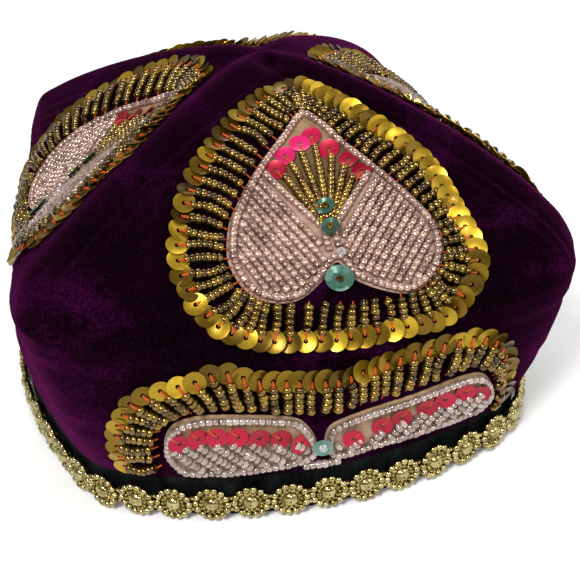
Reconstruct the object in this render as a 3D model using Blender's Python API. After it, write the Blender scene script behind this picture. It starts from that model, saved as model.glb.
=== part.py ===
"""A soft four-sided velvet cap with beaded hearts on its crown, a beaded brow and a gilt rosette trim.

The cap stands on its rim: +Z is up, its front faces -Y, and the origin is under the middle of its box.
Sizes below are in millimetres, and MM turns them into Blender's metres.
Angles run round the cap from its right side, +X, so that the front is at 270 degrees.
"""

import math

import bmesh
import bpy
import numpy as np

MM = 0.001
GAP = 0.3

# The cap's outline: an oval rim, a rounded-square fold, and a low crown that rises to its point.
RIM_HALF_WIDTH = 83.0
RIM_HALF_LENGTH = 93.5
RIM_SQUARENESS = 2.2
FOLD_HALF_WIDTH = 81.2
FOLD_HALF_LENGTH = 95.2
FOLD_SQUARENESS = 8.9
FOLD_HEIGHT_AT_SIDES = 58.5
CROWN_HEIGHT = 111.0
POINT_OFFSET = (8.6, 3.3)
CROWN_CURVE_AT_CORNERS = 1.33
CROWN_CURVE_AT_SIDES = 1.27
CORNER_SHARPNESS = 2.2

# One row for each soft corner of the fold, a quarter turn apart from back right:
# how far it reaches beyond the rounded square, as a share, and the height of its fold.
CORNER_ROWS = (
    ("back_right", -0.12, 69.3),
    ("back_left", -0.10, 75.4),
    ("front_left", 0.03, 76.9),
    ("front_right", 0.068, 70.1),
)

# The side wall: it flares quickly above the rim, and swells between the corners.
FLARE_POWER = 0.355
FLARE_START = 0.08
WALL_SWELL = 6.2

# The fold is softened over this share of the wall, and a seam ridge stands between two gores.
FOLD_SOFTNESS = 0.07
FOLD_REACH = 0.15
RIDGE_HEIGHT = 1.6
RIDGE_WIDTH = 9.0

CLOTH_THICKNESS = 3.0
RIM_BAND_HEIGHT = 16.0
BAND_TOP_LEVEL = 0.93
TOP_LEVEL = 1.985

# The trim: domed rosettes in a closed chain.
ROSETTE_COUNT = 51
ROSETTE_SIDES = 8
ROSETTE_RADIUS = 6.7
ROSETTE_RIM_THICKNESS = 1.4
ROSETTE_DOME_RADIUS = 3.3
ROSETTE_DOME_HEIGHT = 1.6
ROSETTE_CENTRE_HEIGHT = 6.9

# How far the undersides of the beadwork lie off the velvet, and how thick it is.
BEADWORK_LIFT = 0.6
HEART_THICKNESS = 1.9
FRINGE_THICKNESS = 1.6
CUP_THICKNESS = 1.1
FRINGE_CLEARANCE = 1.0

# A heart, from its point: across from it, and down from it. The sewn ones are a little uneven.
HEART_ROWS = (
    (0.0, 0.0),
    (5.6, 5.4),
    (10.8, 15.6),
    (18.4, 28.0),
    (25.2, 39.6),
    (30.8, 50.8),
    (32.2, 59.6),
    (30.0, 66.8),
    (23.6, 70.6),
    (16.4, 68.4),
    (7.6, 62.4),
    (3.2, 55.8),
    (-1.6, 60.4),
    (-8.8, 65.2),
    (-17.2, 65.4),
    (-24.4, 61.6),
    (-28.4, 53.0),
    (-27.6, 43.0),
    (-24.8, 35.2),
    (-16.4, 19.6),
    (-8.0, 8.8),
)
# The fringe starts along the heart and bridges its notch.
NOTCH_START, NOTCH_END = 10, 13
NOTCH_BRIDGE_ROWS = ((12.0, 70.3), (0.0, 68.0))
HEART_HUB = (2.5, 42.0)
# Outer edge of the ring of sequins, in the same frame as the heart.
RING_ROWS = (
    (3.2, -13.2),
    (13.6, -1.6),
    (23.2, 12.4),
    (33.6, 28.8),
    (40.0, 49.2),
    (44.0, 65.6),
    (41.6, 75.6),
    (32.4, 83.0),
    (18.0, 83.0),
    (2.4, 82.4),
    (-10.4, 80.8),
    (-22.8, 79.6),
    (-34.8, 76.0),
    (-43.2, 66.0),
    (-46.0, 51.0),
    (-41.6, 30.4),
    (-34.8, 16.4),
    (-25.2, 1.6),
    (-13.2, -11.2),
    (-4.0, -14.6),
)
CUP_RADIUS = 4.2
CUP_PLACE = (3.0, 62.7)

# One row for each gore: its angle, where its heart's point lies across the gore and down from the top,
# the heart's width and height against the rows above, and its lean in degrees. A minus mirrors it.
GORE_ROWS = (
    ("front", 270.0, 6.2, 35.2, 1.0, 1.0, 0.0),
    ("right", 0.0, -8.0, 29.0, -1.1, 0.93, 0.0),
    ("back", 90.0, 0.0, 34.0, 1.0, 1.0, 0.0),
    ("left", 180.0, 1.6, 31.0, 1.13, 0.95, 10.3),
)

# The brow, on the front of the wall: across from the middle, and down from the crown's point.
LEAF_ROWS = {
    "left": (
        (-1.8, 145.5),
        (-3.6, 140.0),
        (-7.0, 135.8),
        (-13.0, 134.3),
        (-22.6, 133.8),
        (-33.8, 134.8),
        (-42.2, 138.4),
        (-46.2, 145.6),
        (-45.4, 151.0),
        (-41.6, 155.2),
        (-35.0, 155.6),
        (-21.4, 154.0),
        (-7.0, 151.6),
        (-2.4, 149.4),
    ),
    "right": (
        (0.4, 146.5),
        (1.8, 140.6),
        (7.0, 138.4),
        (16.6, 137.3),
        (28.6, 137.2),
        (41.0, 136.8),
        (48.6, 138.2),
        (53.0, 142.4),
        (55.4, 148.0),
        (53.4, 151.9),
        (46.0, 152.8),
        (33.0, 152.0),
        (14.0, 151.4),
        (3.0, 151.8),
    ),
}
LEAF_HUBS = {"left": (-24.0, 145.0), "right": (28.0, 144.8)}
# One row for each station along the fringe: its inner edge, then its outer edge.
BROW_ROWS = (
    (-49.4, 155.0, -66.6, 157.0),
    (-48.8, 148.0, -66.2, 149.5),
    (-47.6, 142.6, -64.0, 141.8),
    (-44.9, 138.8, -60.2, 135.6),
    (-41.0, 135.9, -54.2, 128.5),
    (-35.0, 133.5, -44.6, 124.4),
    (-29.5, 132.4, -36.6, 121.4),
    (-23.8, 131.9, -28.4, 117.4),
    (-17.0, 132.3, -19.0, 119.2),
    (-10.0, 133.3, -9.5, 120.2),
    (-2.5, 134.5, -1.0, 121.4),
    (5.0, 135.2, 6.5, 122.3),
    (12.5, 135.1, 14.5, 121.2),
    (20.0, 134.9, 23.5, 120.2),
    (28.0, 134.7, 32.5, 120.2),
    (35.5, 134.1, 40.5, 120.4),
    (42.5, 133.9, 48.5, 121.8),
    (47.8, 135.3, 54.4, 125.2),
    (52.4, 138.9, 59.2, 131.8),
    (55.6, 143.2, 62.4, 140.2),
    (57.6, 148.6, 64.4, 147.4),
    (57.8, 154.5, 66.4, 154.0),
)
BROW_CUP_RADIUS = 2.9
BROW_CUP_PLACE = (-0.8, 144.9)

# How finely each kind of piece is cut.
GORE_COLUMNS, GORE_ROWS_OF_FACES = 12, 11
BAND_COLUMNS, BAND_ROWS_OF_FACES, RIM_ROWS_OF_FACES = 4 * GORE_COLUMNS, 4, 1
RING_COLUMNS, HEART_ROWS_OF_FACES, FRINGE_ROWS_OF_FACES = 34, 3, 2
LEAF_COLUMNS, LEAF_ROWS_OF_FACES = 24, 3
BROW_COLUMNS, BROW_ROWS_OF_FACES = 34, 2
SMOOTH_ANGLE = math.radians(40)


def squared_oval(angle, half_width, half_length, squareness):
    """Radius, at an angle, of an oval that goes from an ellipse to a rectangle as squareness grows."""
    across = np.abs(np.cos(angle) / half_width) ** squareness
    along = np.abs(np.sin(angle) / half_length) ** squareness
    return (across + along) ** (-1 / squareness)


def corner_share(angle):
    """1 at the four corners and 0 half way between them."""
    return np.abs(np.sin(2 * angle)) ** CORNER_SHARPNESS


def fold_at(angle):
    """Radius and height of the fold between wall and crown."""
    quarter = np.floor(np.mod(angle, 2 * np.pi) / (np.pi / 2)).astype(int) % 4
    reach = np.array([row[1] for row in CORNER_ROWS])[quarter]
    height = np.array([row[2] for row in CORNER_ROWS])[quarter]
    corner = corner_share(angle)
    radius = squared_oval(angle, FOLD_HALF_WIDTH, FOLD_HALF_LENGTH, FOLD_SQUARENESS)
    return (
        radius * (1 + reach * corner),
        FOLD_HEIGHT_AT_SIDES + (height - FOLD_HEIGHT_AT_SIDES) * corner,
    )


def flare(share):
    """How far the wall has moved from the rim's outline to the fold's, at a share of its height."""
    start, end = FLARE_START**FLARE_POWER, (1 + FLARE_START) ** FLARE_POWER
    return ((share + FLARE_START) ** FLARE_POWER - start) / (end - start)


def creased_point(angle, level):
    """Outer surface with a sharp fold. Level 0 is the rim, 1 the fold and 2 the crown's point."""
    corner = corner_share(angle)
    fold_radius, fold_height = fold_at(angle)
    rim_radius = squared_oval(angle, RIM_HALF_WIDTH, RIM_HALF_LENGTH, RIM_SQUARENESS)
    up = np.clip(level, 0, 1)
    out = np.clip(2 - level, 0, 1)
    wall = rim_radius + (fold_radius - rim_radius) * flare(up)
    wall = wall + WALL_SWELL * np.sin(np.pi * up) * (1 - corner)
    curve = CROWN_CURVE_AT_SIDES + (CROWN_CURVE_AT_CORNERS - CROWN_CURVE_AT_SIDES) * corner
    rise = (1 - out**curve) ** (1 / curve)
    from_seam = np.abs(np.mod(angle, np.pi / 2) - np.pi / 4) * fold_radius * out
    ridge = RIDGE_HEIGHT * np.exp(-((from_seam / RIDGE_WIDTH) ** 2)) * np.sin(np.pi * out) ** 0.5
    on_crown = level > 1
    radius = np.where(on_crown, fold_radius * out, wall)
    height = np.where(
        on_crown, fold_height + (CROWN_HEIGHT - fold_height) * rise + ridge, fold_height * up
    )
    drift = np.where(on_crown, 1 - out**2, 0.0)
    return np.stack(
        [
            radius * np.cos(angle) + POINT_OFFSET[0] * drift,
            radius * np.sin(angle) + POINT_OFFSET[1] * drift,
            height,
        ],
        axis=-1,
    )


def cap_point(angle, level):
    """Outer surface of the velvet, with the fold rounded off."""
    reach = FOLD_SOFTNESS * np.exp(-(((level - 1) / FOLD_REACH) ** 2))
    below = creased_point(angle, np.maximum(level - reach, 0))
    above = creased_point(angle, np.minimum(level + reach, 2))
    return (below + 2 * creased_point(angle, level) + above) / 4


def outward(angle, level):
    """Unit normal of the velvet, away from the head."""
    turn, step = 0.02, 0.02
    low, high = np.clip(level - step, 0, 1.985), np.clip(level + step, 0.01, 1.995)
    around = cap_point(angle + turn, level) - cap_point(angle - turn, level)
    upward = cap_point(angle, high) - cap_point(angle, low)
    normal = np.cross(around, upward)
    return normal / np.linalg.norm(normal, axis=-1, keepdims=True)


def cloth_point(angle, level, depth):
    """A point this deep in the cloth. Near the rim the depth runs level, so that the rim is flat."""
    point = cap_point(angle, level)
    normal = outward(angle, level)
    normal[..., 2] *= np.clip(point[..., 2] / RIM_BAND_HEIGHT, 0, 1)
    normal /= np.linalg.norm(normal, axis=-1, keepdims=True)
    return point - normal * depth[..., None]


def centre_line(angle):
    """Levels down the middle of a gore, and their distance from the crown's point."""
    levels = np.linspace(2, 0, 400)
    line = cap_point(np.full_like(levels, angle), levels)
    steps = np.linalg.norm(np.diff(line, axis=0), axis=1)
    return levels, np.concatenate([[0], np.cumsum(steps)])


def on_gore(gore_angle, across, down, lift):
    """A point of the beadwork, from its place across the gore and down from the crown's point."""
    levels, distances = centre_line(gore_angle)
    level = np.interp(down, distances, levels)
    fold_radius, _ = fold_at(np.array([gore_angle]))
    out = fold_radius[0] * np.clip(2 - level, 0.02, 1)
    angle = gore_angle + np.arctan2(across, out)
    return cap_point(angle, level) + outward(angle, level) * np.asarray(lift)[..., None]


def smooth_curve(rows, shares, closed=True):
    """Points on a Catmull-Rom curve through the rows, at these shares of its rows."""
    rows = np.asarray(rows, float)
    spans = len(rows) if closed else len(rows) - 1
    place = np.asarray(shares) * spans
    first = np.minimum(np.floor(place).astype(int), spans - 1)
    along = (place - first)[..., None]
    index = [first + shift for shift in (-1, 0, 1, 2)]
    index = [i % len(rows) if closed else np.clip(i, 0, len(rows) - 1) for i in index]
    before, start, end, after = (rows[i] for i in index)
    return 0.5 * (
        2 * start
        + (end - before) * along
        + (2 * before - 5 * start + 4 * end - after) * along**2
        + (3 * start - before - 3 * end + after) * along**3
    )


def reach_from_hub(outline, hub, bearing):
    """Distance from the hub to a closed outline, at each bearing."""
    curve = smooth_curve(outline, np.linspace(0, 1, 600, endpoint=False)) - np.array(hub)
    bearings = np.arctan2(curve[:, 0], curve[:, 1])
    order = np.argsort(bearings)
    return np.interp(
        bearing,
        bearings[order],
        np.hypot(curve[:, 0], curve[:, 1])[order],
        period=2 * np.pi,
    )


def sewn_point(gore_row, across, down, lift):
    """A point of a heart's beadwork, from its place in the heart's own frame."""
    _, degrees, point_across, point_down, wide, tall, lean_degrees = gore_row
    lean = math.radians(lean_degrees)
    across, down = across * wide, down * tall
    across_gore = point_across + across * math.cos(lean) + down * math.sin(lean)
    down_gore = point_down + down * math.cos(lean) - across * math.sin(lean)
    return on_gore(math.radians(degrees), across_gore, down_gore, lift)


def finish(name, colour, roughness, metallic=0.0):
    """A plain material of this colour."""
    material = bpy.data.materials.new(name)
    material.use_nodes = True
    shader = material.node_tree.nodes["Principled BSDF"]
    shader.inputs["Base Color"].default_value = (*colour, 1.0)
    shader.inputs["Roughness"].default_value = roughness
    shader.inputs["Metallic"].default_value = metallic
    material.diffuse_color = (*colour, 1.0)
    return material


def add_object(name, sheet, material, collection):
    """Turns a bmesh into a smooth-shaded object with its own material."""
    mesh = bpy.data.meshes.new(name)
    sheet.normal_update()
    bmesh.ops.recalc_face_normals(sheet, faces=sheet.faces[:])
    sheet.to_mesh(mesh)
    sheet.free()
    mesh.shade_smooth()
    mesh.set_sharp_from_angle(angle=SMOOTH_ANGLE)
    mesh.materials.append(material)
    piece = bpy.data.objects.new(name, mesh)
    collection.objects.link(piece)
    return piece


def shaped_slab(columns, rows, place, ring=False, hub=False):
    """A flat slab of columns and rows, which place(u, v, w) bends into its real shape.

    u runs along the columns, v along the rows and w through the slab, each from 0 to 1.
    A ring has its first column joined to its last, and a hub has its first row drawn to one point.
    """
    sheet = bmesh.new()
    bmesh.ops.create_grid(sheet, x_segments=columns, y_segments=rows, size=0.5)
    bmesh.ops.translate(sheet, verts=sheet.verts[:], vec=(0.5, 0.5, 0))
    raised = bmesh.ops.extrude_face_region(sheet, geom=sheet.faces[:])
    top = [item for item in raised["geom"] if isinstance(item, bmesh.types.BMVert)]
    bmesh.ops.translate(sheet, verts=top, vec=(0, 0, 1))
    nearly = 1e-5
    ends = []
    for face in sheet.faces:
        u = [vert.co.x for vert in face.verts]
        v = [vert.co.y for vert in face.verts]
        at_seam = ring and (max(u) < nearly or min(u) > 1 - nearly)
        at_hub = hub and max(v) < nearly
        if at_seam or at_hub:
            ends.append(face)
    bmesh.ops.delete(sheet, geom=ends, context="FACES")
    uvw = np.array([vert.co for vert in sheet.verts])
    points = place(*np.clip(uvw.T, 0, 1)) * MM
    for vert, point in zip(sheet.verts, points):
        vert.co = point
    if ring or hub:
        bmesh.ops.remove_doubles(sheet, verts=sheet.verts[:], dist=nearly)
    return sheet


def gore(angle):
    """A quarter of the crown, carried over the fold on to the wall, with half a gap to each neighbour."""

    def place(u, v, w):
        fold_radius, fold_height = fold_at(np.array([angle]))
        lowest = BAND_TOP_LEVEL + GAP / fold_height
        level = lowest + (TOP_LEVEL - lowest) * v
        half_turn = np.pi / 4 - GAP / 2 / (fold_radius * np.clip(2 - level, 0, 1))
        return cloth_point(angle + (2 * u - 1) * half_turn, level, CLOTH_THICKNESS * (1 - w))

    return shaped_slab(GORE_COLUMNS, GORE_ROWS_OF_FACES, place)


def side_band():
    """The velvet wall, from the rim band up to just under the fold."""

    def place(u, v, w):
        angle = 2 * np.pi * u
        _, fold_height = fold_at(angle)
        lowest = (RIM_BAND_HEIGHT + GAP) / fold_height
        level = lowest + (BAND_TOP_LEVEL - lowest) * v
        return cloth_point(angle, level, CLOTH_THICKNESS * (1 - w))

    return shaped_slab(BAND_COLUMNS, BAND_ROWS_OF_FACES, place, ring=True)


def rim_band():
    """The black strip round the rim, with the flat lower edge that the cap stands on."""

    def place(u, v, w):
        angle = 2 * np.pi * u
        _, fold_height = fold_at(angle)
        return cloth_point(angle, RIM_BAND_HEIGHT * v / fold_height, CLOTH_THICKNESS * (1 - w))

    return shaped_slab(BAND_COLUMNS, RIM_ROWS_OF_FACES, place, ring=True)


def heart(gore_row):
    """The pad of bead rows in the shape of a heart, with its point towards the top."""

    def place(u, v, w):
        bearing = 2 * np.pi * u
        reach = reach_from_hub(HEART_ROWS, HEART_HUB, bearing) * v
        across = HEART_HUB[0] + reach * np.sin(bearing)
        down = HEART_HUB[1] + reach * np.cos(bearing)
        return sewn_point(gore_row, across, down, BEADWORK_LIFT + HEART_THICKNESS * w)

    return shaped_slab(RING_COLUMNS, HEART_ROWS_OF_FACES, place, ring=True, hub=True)


def heart_fringe(gore_row):
    """The ring of bead spokes and sequins, from the heart's edge to the outer edge of the sequins."""
    inner = HEART_ROWS[:NOTCH_START] + NOTCH_BRIDGE_ROWS + HEART_ROWS[NOTCH_END:]

    def place(u, v, w):
        bearing = 2 * np.pi * u
        inside = reach_from_hub(inner, HEART_HUB, bearing) + FRINGE_CLEARANCE
        outside = reach_from_hub(RING_ROWS, HEART_HUB, bearing)
        reach = inside + (outside - inside) * v
        across = HEART_HUB[0] + reach * np.sin(bearing)
        down = HEART_HUB[1] + reach * np.cos(bearing)
        return sewn_point(gore_row, across, down, BEADWORK_LIFT + FRINGE_THICKNESS * w)

    return shaped_slab(RING_COLUMNS, FRINGE_ROWS_OF_FACES, place, ring=True)


def brow_leaf(side):
    """One long leaf of the brow, from the middle out to its rounded end."""
    hub = LEAF_HUBS[side]

    def place(u, v, w):
        bearing = 2 * np.pi * u
        reach = reach_from_hub(LEAF_ROWS[side], hub, bearing) * v
        across = hub[0] + reach * np.sin(bearing)
        down = hub[1] + reach * np.cos(bearing)
        return on_gore(math.radians(270), across, down, BEADWORK_LIFT + HEART_THICKNESS * w)

    return shaped_slab(LEAF_COLUMNS, LEAF_ROWS_OF_FACES, place, ring=True, hub=True)


def brow_fringe():
    """The arch of spokes and sequins over both leaves."""

    def place(u, v, w):
        edges = smooth_curve(BROW_ROWS, u, closed=False)
        across = edges[:, 0] + (edges[:, 2] - edges[:, 0]) * v
        down = edges[:, 1] + (edges[:, 3] - edges[:, 1]) * v
        lift = BEADWORK_LIFT + FRINGE_THICKNESS * w
        return on_gore(math.radians(270), across, down, lift)

    return shaped_slab(BROW_COLUMNS, BROW_ROWS_OF_FACES, place)


def frame_on_cap(point, normal, up=(0, 0, 1)):
    """Rotation columns for a piece that lies on the cap: along it, up it, and away from it."""
    along = np.cross(up, normal)
    along /= np.linalg.norm(along)
    return np.stack([along, np.cross(normal, along), normal], axis=1), point


def set_on_cap(sheet, rotation, point):
    """Moves a piece from its own frame, in millimetres, to its place on the cap."""
    for vert in sheet.verts:
        vert.co = (rotation @ np.array(vert.co) + point) * MM


def cup_sequin(radius, sides, low, high):
    """A large cupped sequin that lies on the beads, over the velvet's point low and facing high."""
    sheet = bmesh.new()
    bmesh.ops.create_cone(
        sheet,
        cap_ends=True,
        segments=sides,
        radius1=radius,
        radius2=radius * 0.62,
        depth=CUP_THICKNESS,
    )
    lift = BEADWORK_LIFT + HEART_THICKNESS + GAP + CUP_THICKNESS / 2
    rotation, point = frame_on_cap(low + (high - low) * lift, high - low)
    set_on_cap(sheet, rotation, point)
    return sheet


def heart_cup(gore_row):
    """The hexagonal cup under a heart's notch."""
    across, down = (np.array([value], float) for value in CUP_PLACE)
    low, high = (sewn_point(gore_row, across, down, np.array([lift]))[0] for lift in (0.0, 1.0))
    return cup_sequin(CUP_RADIUS, 6, low, high)


def brow_cup():
    """The round sequin between the two leaves."""
    front = math.radians(270)
    across, down = (np.array([value], float) for value in BROW_CUP_PLACE)
    low, high = (on_gore(front, across, down, np.array([lift]))[0] for lift in (0.0, 1.0))
    return cup_sequin(BROW_CUP_RADIUS, 10, low, high)


def rosette():
    """One rosette: a disc whose face is inset and drawn up into a faceted dome."""
    sheet = bmesh.new()
    bmesh.ops.create_cone(
        sheet,
        cap_ends=True,
        segments=ROSETTE_SIDES,
        radius1=ROSETTE_RADIUS,
        radius2=ROSETTE_RADIUS * 0.95,
        depth=ROSETTE_RIM_THICKNESS,
    )
    turn = math.pi / ROSETTE_SIDES
    for vert in sheet.verts:
        x, y, z = vert.co
        vert.co = (
            x * math.cos(turn) - y * math.sin(turn),
            x * math.sin(turn) + y * math.cos(turn),
            z + ROSETTE_RIM_THICKNESS / 2,
        )
    sheet.faces.ensure_lookup_table()
    face = max(sheet.faces, key=lambda item: item.calc_center_median().z)
    inset = ROSETTE_RADIUS * 0.95 - ROSETTE_DOME_RADIUS
    bmesh.ops.inset_region(sheet, faces=[face], thickness=inset * math.cos(turn))
    dome = bmesh.ops.extrude_discrete_faces(sheet, faces=[face])["faces"][0]
    for vert in dome.verts:
        vert.co.x *= 0.5
        vert.co.y *= 0.5
        vert.co.z += ROSETTE_DOME_HEIGHT
    return sheet


def rosette_seat(angle):
    """Centre and facing of a rosette that stands upright, just clear of the wall behind its edge."""
    edge = np.linspace(0, 2 * np.pi, 16, endpoint=False)
    around = np.append(0.0, ROSETTE_RADIUS * np.cos(edge) / RIM_HALF_LENGTH) + angle
    heights = np.append(0.0, ROSETTE_RADIUS * np.sin(edge)) + ROSETTE_CENTRE_HEIGHT
    _, fold_height = fold_at(around)
    wall = cap_point(around, heights / fold_height)
    facing = outward(around[:1], heights[:1] / fold_height[:1])[0]
    facing[2] = 0
    facing /= np.linalg.norm(facing)
    reach = ((wall - wall[0]) @ facing).max()
    return wall[0] + facing * (reach + BEADWORK_LIFT), facing


def trim_stations():
    """Angles at equal steps along the line of the rosettes' centres."""
    angles = np.linspace(0, 2 * np.pi, 241)
    line = np.array([rosette_seat(angle)[0] for angle in angles])
    steps = np.linalg.norm(np.diff(line, axis=0), axis=1)
    distance = np.concatenate([[0], np.cumsum(steps)])
    return np.interp(np.arange(ROSETTE_COUNT) / ROSETTE_COUNT * distance[-1], distance, angles)


def rosette_trim(material, collection, helpers):
    """The closed chain of rosettes, fused where each meets the next."""
    first = None
    for number, angle in enumerate(trim_stations()):
        point, facing = rosette_seat(angle)
        sheet = rosette()
        set_on_cap(sheet, *frame_on_cap(point, facing))
        if number == 0:
            first = add_object("rosette_trim", sheet, material, collection)
        else:
            other = add_object(f"rosette_{number:02d}", sheet, material, helpers)
            other.hide_render = True
            other.display_type = "WIRE"
    fuse = first.modifiers.new("Fuse the chain", "BOOLEAN")
    fuse.operation = "UNION"
    fuse.operand_type = "COLLECTION"
    fuse.collection = helpers
    fuse.solver = "EXACT"
    return first


def stand_on_origin(pieces, helpers):
    """Moves everything so that the origin is under the middle of the cap's box."""
    everything = [*pieces, *helpers.objects]
    corners = np.array([vert.co for piece in everything for vert in piece.data.vertices])
    low, high = corners.min(axis=0), corners.max(axis=0)
    shift = np.array([(low[0] + high[0]) / 2, (low[1] + high[1]) / 2, low[2]])
    for piece in everything:
        for vert in piece.data.vertices:
            vert.co = np.array(vert.co) - shift


def new_collection(name):
    collection = bpy.data.collections.new(name)
    bpy.context.scene.collection.children.link(collection)
    return collection


def build():
    for thing in list(bpy.data.objects):
        bpy.data.objects.remove(thing, do_unlink=True)
    cap = new_collection("Beaded velvet cap")
    helpers = new_collection("Rosettes to fuse")
    helpers.hide_render = True

    velvet = finish("Purple velvet", (0.045, 0.008, 0.05), 0.85)
    black_velvet = finish("Black velvet", (0.008, 0.008, 0.01), 0.9)
    pink_beads = finish("Pink bead rows", (0.72, 0.5, 0.5), 0.2)
    gold_beads = finish("Gold beads and sequins", (0.5, 0.36, 0.1), 0.3, 0.8)
    green_cups = finish("Green cup sequins", (0.3, 0.45, 0.38), 0.25)
    gilt = finish("Pale gilt", (0.62, 0.55, 0.33), 0.25, 1.0)

    pieces = [
        add_object("side_band", side_band(), velvet, cap),
        add_object("rim_band", rim_band(), black_velvet, cap),
        rosette_trim(gilt, cap, helpers),
    ]
    for gore_row in GORE_ROWS:
        name, degrees = gore_row[:2]
        pieces += [
            add_object(f"gore_{name}", gore(math.radians(degrees)), velvet, cap),
            add_object(f"{name}_heart", heart(gore_row), pink_beads, cap),
            add_object(f"{name}_fringe", heart_fringe(gore_row), gold_beads, cap),
            add_object(f"{name}_cup", heart_cup(gore_row), green_cups, cap),
        ]
    pieces += [
        add_object("brow_leaf_left", brow_leaf("left"), pink_beads, cap),
        add_object("brow_leaf_right", brow_leaf("right"), pink_beads, cap),
        add_object("brow_fringe", brow_fringe(), gold_beads, cap),
        add_object("brow_cup", brow_cup(), green_cups, cap),
    ]
    stand_on_origin(pieces, helpers)


build()
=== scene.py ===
"""The beaded velvet cap dressed for its picture: velvet, bead rows, spokes, sequins and a rosette trim.

Lengths are in millimetres, and MM turns them into metres. Angles run round the cap from its right side,
+X, so that the front is at 270 degrees. A motif's places are across its panel and down from the top.
"""

import math

import bpy
import numpy as np
from mathutils import Matrix, Vector


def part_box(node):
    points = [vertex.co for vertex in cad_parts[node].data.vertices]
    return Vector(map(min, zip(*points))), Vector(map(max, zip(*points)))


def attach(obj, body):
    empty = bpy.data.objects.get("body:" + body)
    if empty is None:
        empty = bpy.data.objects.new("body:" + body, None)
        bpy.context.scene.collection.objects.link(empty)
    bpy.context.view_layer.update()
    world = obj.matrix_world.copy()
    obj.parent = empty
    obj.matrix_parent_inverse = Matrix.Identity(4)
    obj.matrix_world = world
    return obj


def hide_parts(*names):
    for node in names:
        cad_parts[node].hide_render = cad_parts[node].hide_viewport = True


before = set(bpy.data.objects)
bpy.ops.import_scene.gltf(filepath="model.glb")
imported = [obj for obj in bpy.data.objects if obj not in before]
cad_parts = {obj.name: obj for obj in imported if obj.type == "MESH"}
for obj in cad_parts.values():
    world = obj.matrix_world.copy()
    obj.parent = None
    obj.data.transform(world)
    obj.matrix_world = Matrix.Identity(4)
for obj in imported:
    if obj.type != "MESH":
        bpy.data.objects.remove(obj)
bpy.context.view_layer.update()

MM = 0.001
HEART_SEED, BROW_SEED, TRIM_SEED = 10, 20, 30

# The surface of the cap, with the same sizes as its solids.
RIM_HALF_WIDTH, RIM_HALF_LENGTH, RIM_SQUARENESS = 83.0, 93.5, 2.2
FOLD_HALF_WIDTH, FOLD_HALF_LENGTH, FOLD_SQUARENESS = 81.2, 95.2, 8.9
FOLD_HEIGHT_AT_SIDES, CROWN_HEIGHT = 58.5, 111.0
POINT_OFFSET = (8.6, 3.3)
CROWN_CURVE_AT_CORNERS, CROWN_CURVE_AT_SIDES = 1.33, 1.27
CORNER_SHARPNESS = 2.2
# Reach beyond the rounded square and height of the fold, for each corner from back right.
CORNER_ROWS = ((-0.12, 69.3), (-0.10, 75.4), (0.03, 76.9), (0.068, 70.1))
FLARE_POWER, FLARE_START = 0.355, 0.08
WALL_SWELL = 6.2
FOLD_SOFTNESS, FOLD_REACH = 0.07, 0.15
RIDGE_HEIGHT, RIDGE_WIDTH = 1.6, 9.0
CLOTH_THICKNESS = 3.0
RIM_BAND_HEIGHT = 16.0
# Below this height the outer side of the black strip hangs straight down, behind the rosettes.
HEM_HANG_HEIGHT = 12.0
BAND_TOP_LEVEL = 0.93
TOP_LEVEL = 1.998
CAD_BAND_COLUMNS = 48

HEM_ROLL, HEM_RIPPLE, HEM_TUCK = 0.9, 0.25, 0.5

# How finely the velvet is meshed. The crowding draws a gore's columns towards its seams.
GORE_COLUMNS, GORE_ROWS_UP, GORE_CROWDING = 128, 80, 1.5
WALL_COLUMNS, WALL_ROWS = 300, 34
RIM_COLUMNS, RIM_ROWS = 280, 12

# Relief of the velvet: the piped ridge, the stitched lines beside it, soft creases and the dimple on top.
PIPING_HEIGHT, PIPING_WIDTH = 0.9, 4.6
STITCH_LINES = (8.5, 12.5, 16.5, 20.5)
STITCH_DEPTH, STITCH_WIDTH = 0.5, 0.75
CREASE_LEVELS = ((1.0, 0.7), (0.79, 0.8), (0.5, 0.35))
CREASE_WIDTH = 0.035
DIMPLE_DEPTH, DIMPLE_WIDTH = 1.6, 4.0
DIMPLE_PLACE = (10.5, -5.0)

# The hearts, as in the solids.
HEART_ROWS = (
    (0.0, 0.0), (5.6, 5.4), (10.8, 15.6), (18.4, 28.0), (25.2, 39.6), (30.8, 50.8), (32.2, 59.6),
    (30.0, 66.8), (23.6, 70.6), (16.4, 68.4), (7.6, 62.4), (3.2, 55.8), (-1.6, 60.4), (-8.8, 65.2),
    (-17.2, 65.4), (-24.4, 61.6), (-28.4, 53.0), (-27.6, 43.0), (-24.8, 35.2), (-16.4, 19.6), (-8.0, 8.8),
)
NOTCH_START, NOTCH_END = 10, 13
NOTCH_BRIDGE_ROWS = ((12.0, 70.3), (0.0, 68.0))
RING_ROWS = (
    (3.2, -13.2), (13.6, -1.6), (23.2, 12.4), (33.6, 28.8), (40.0, 49.2), (44.0, 65.6), (41.6, 75.6),
    (32.4, 83.0), (18.0, 83.0), (2.4, 82.4), (-10.4, 80.8), (-22.8, 79.6), (-34.8, 76.0), (-43.2, 66.0),
    (-46.0, 51.0), (-41.6, 30.4), (-34.8, 16.4), (-25.2, 1.6), (-13.2, -11.2), (-4.0, -14.6),
)
# How far apart the sequins are, from the ring's top clockwise: share of the way round, and pitch.
RING_PITCHES = (
    (0.0, 3.7), (0.12, 3.6), (0.25, 4.2), (0.4, 4.3), (0.55, 4.6), (0.7, 5.3), (0.88, 5.2), (1.0, 4.0),
)
CUP_PLACE, CUP_RADIUS, CUP_DISH, CUP_LIFT = (3.0, 62.7), 4.2, 0.9, 2.9
# Angle, place of the heart's point, width, height and lean, as in the solids. A minus mirrors a heart.
GORE_ROWS = (
    ("front", 270.0, 6.2, 35.2, 1.0, 1.0, 0.0),
    ("right", 0.0, -8.0, 29.0, -1.1, 0.93, 0.0),
    ("back", 90.0, 0.0, 34.0, 1.0, 1.0, 0.0),
    ("left", 180.0, 1.6, 31.0, 1.13, 0.95, 10.3),
)

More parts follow.
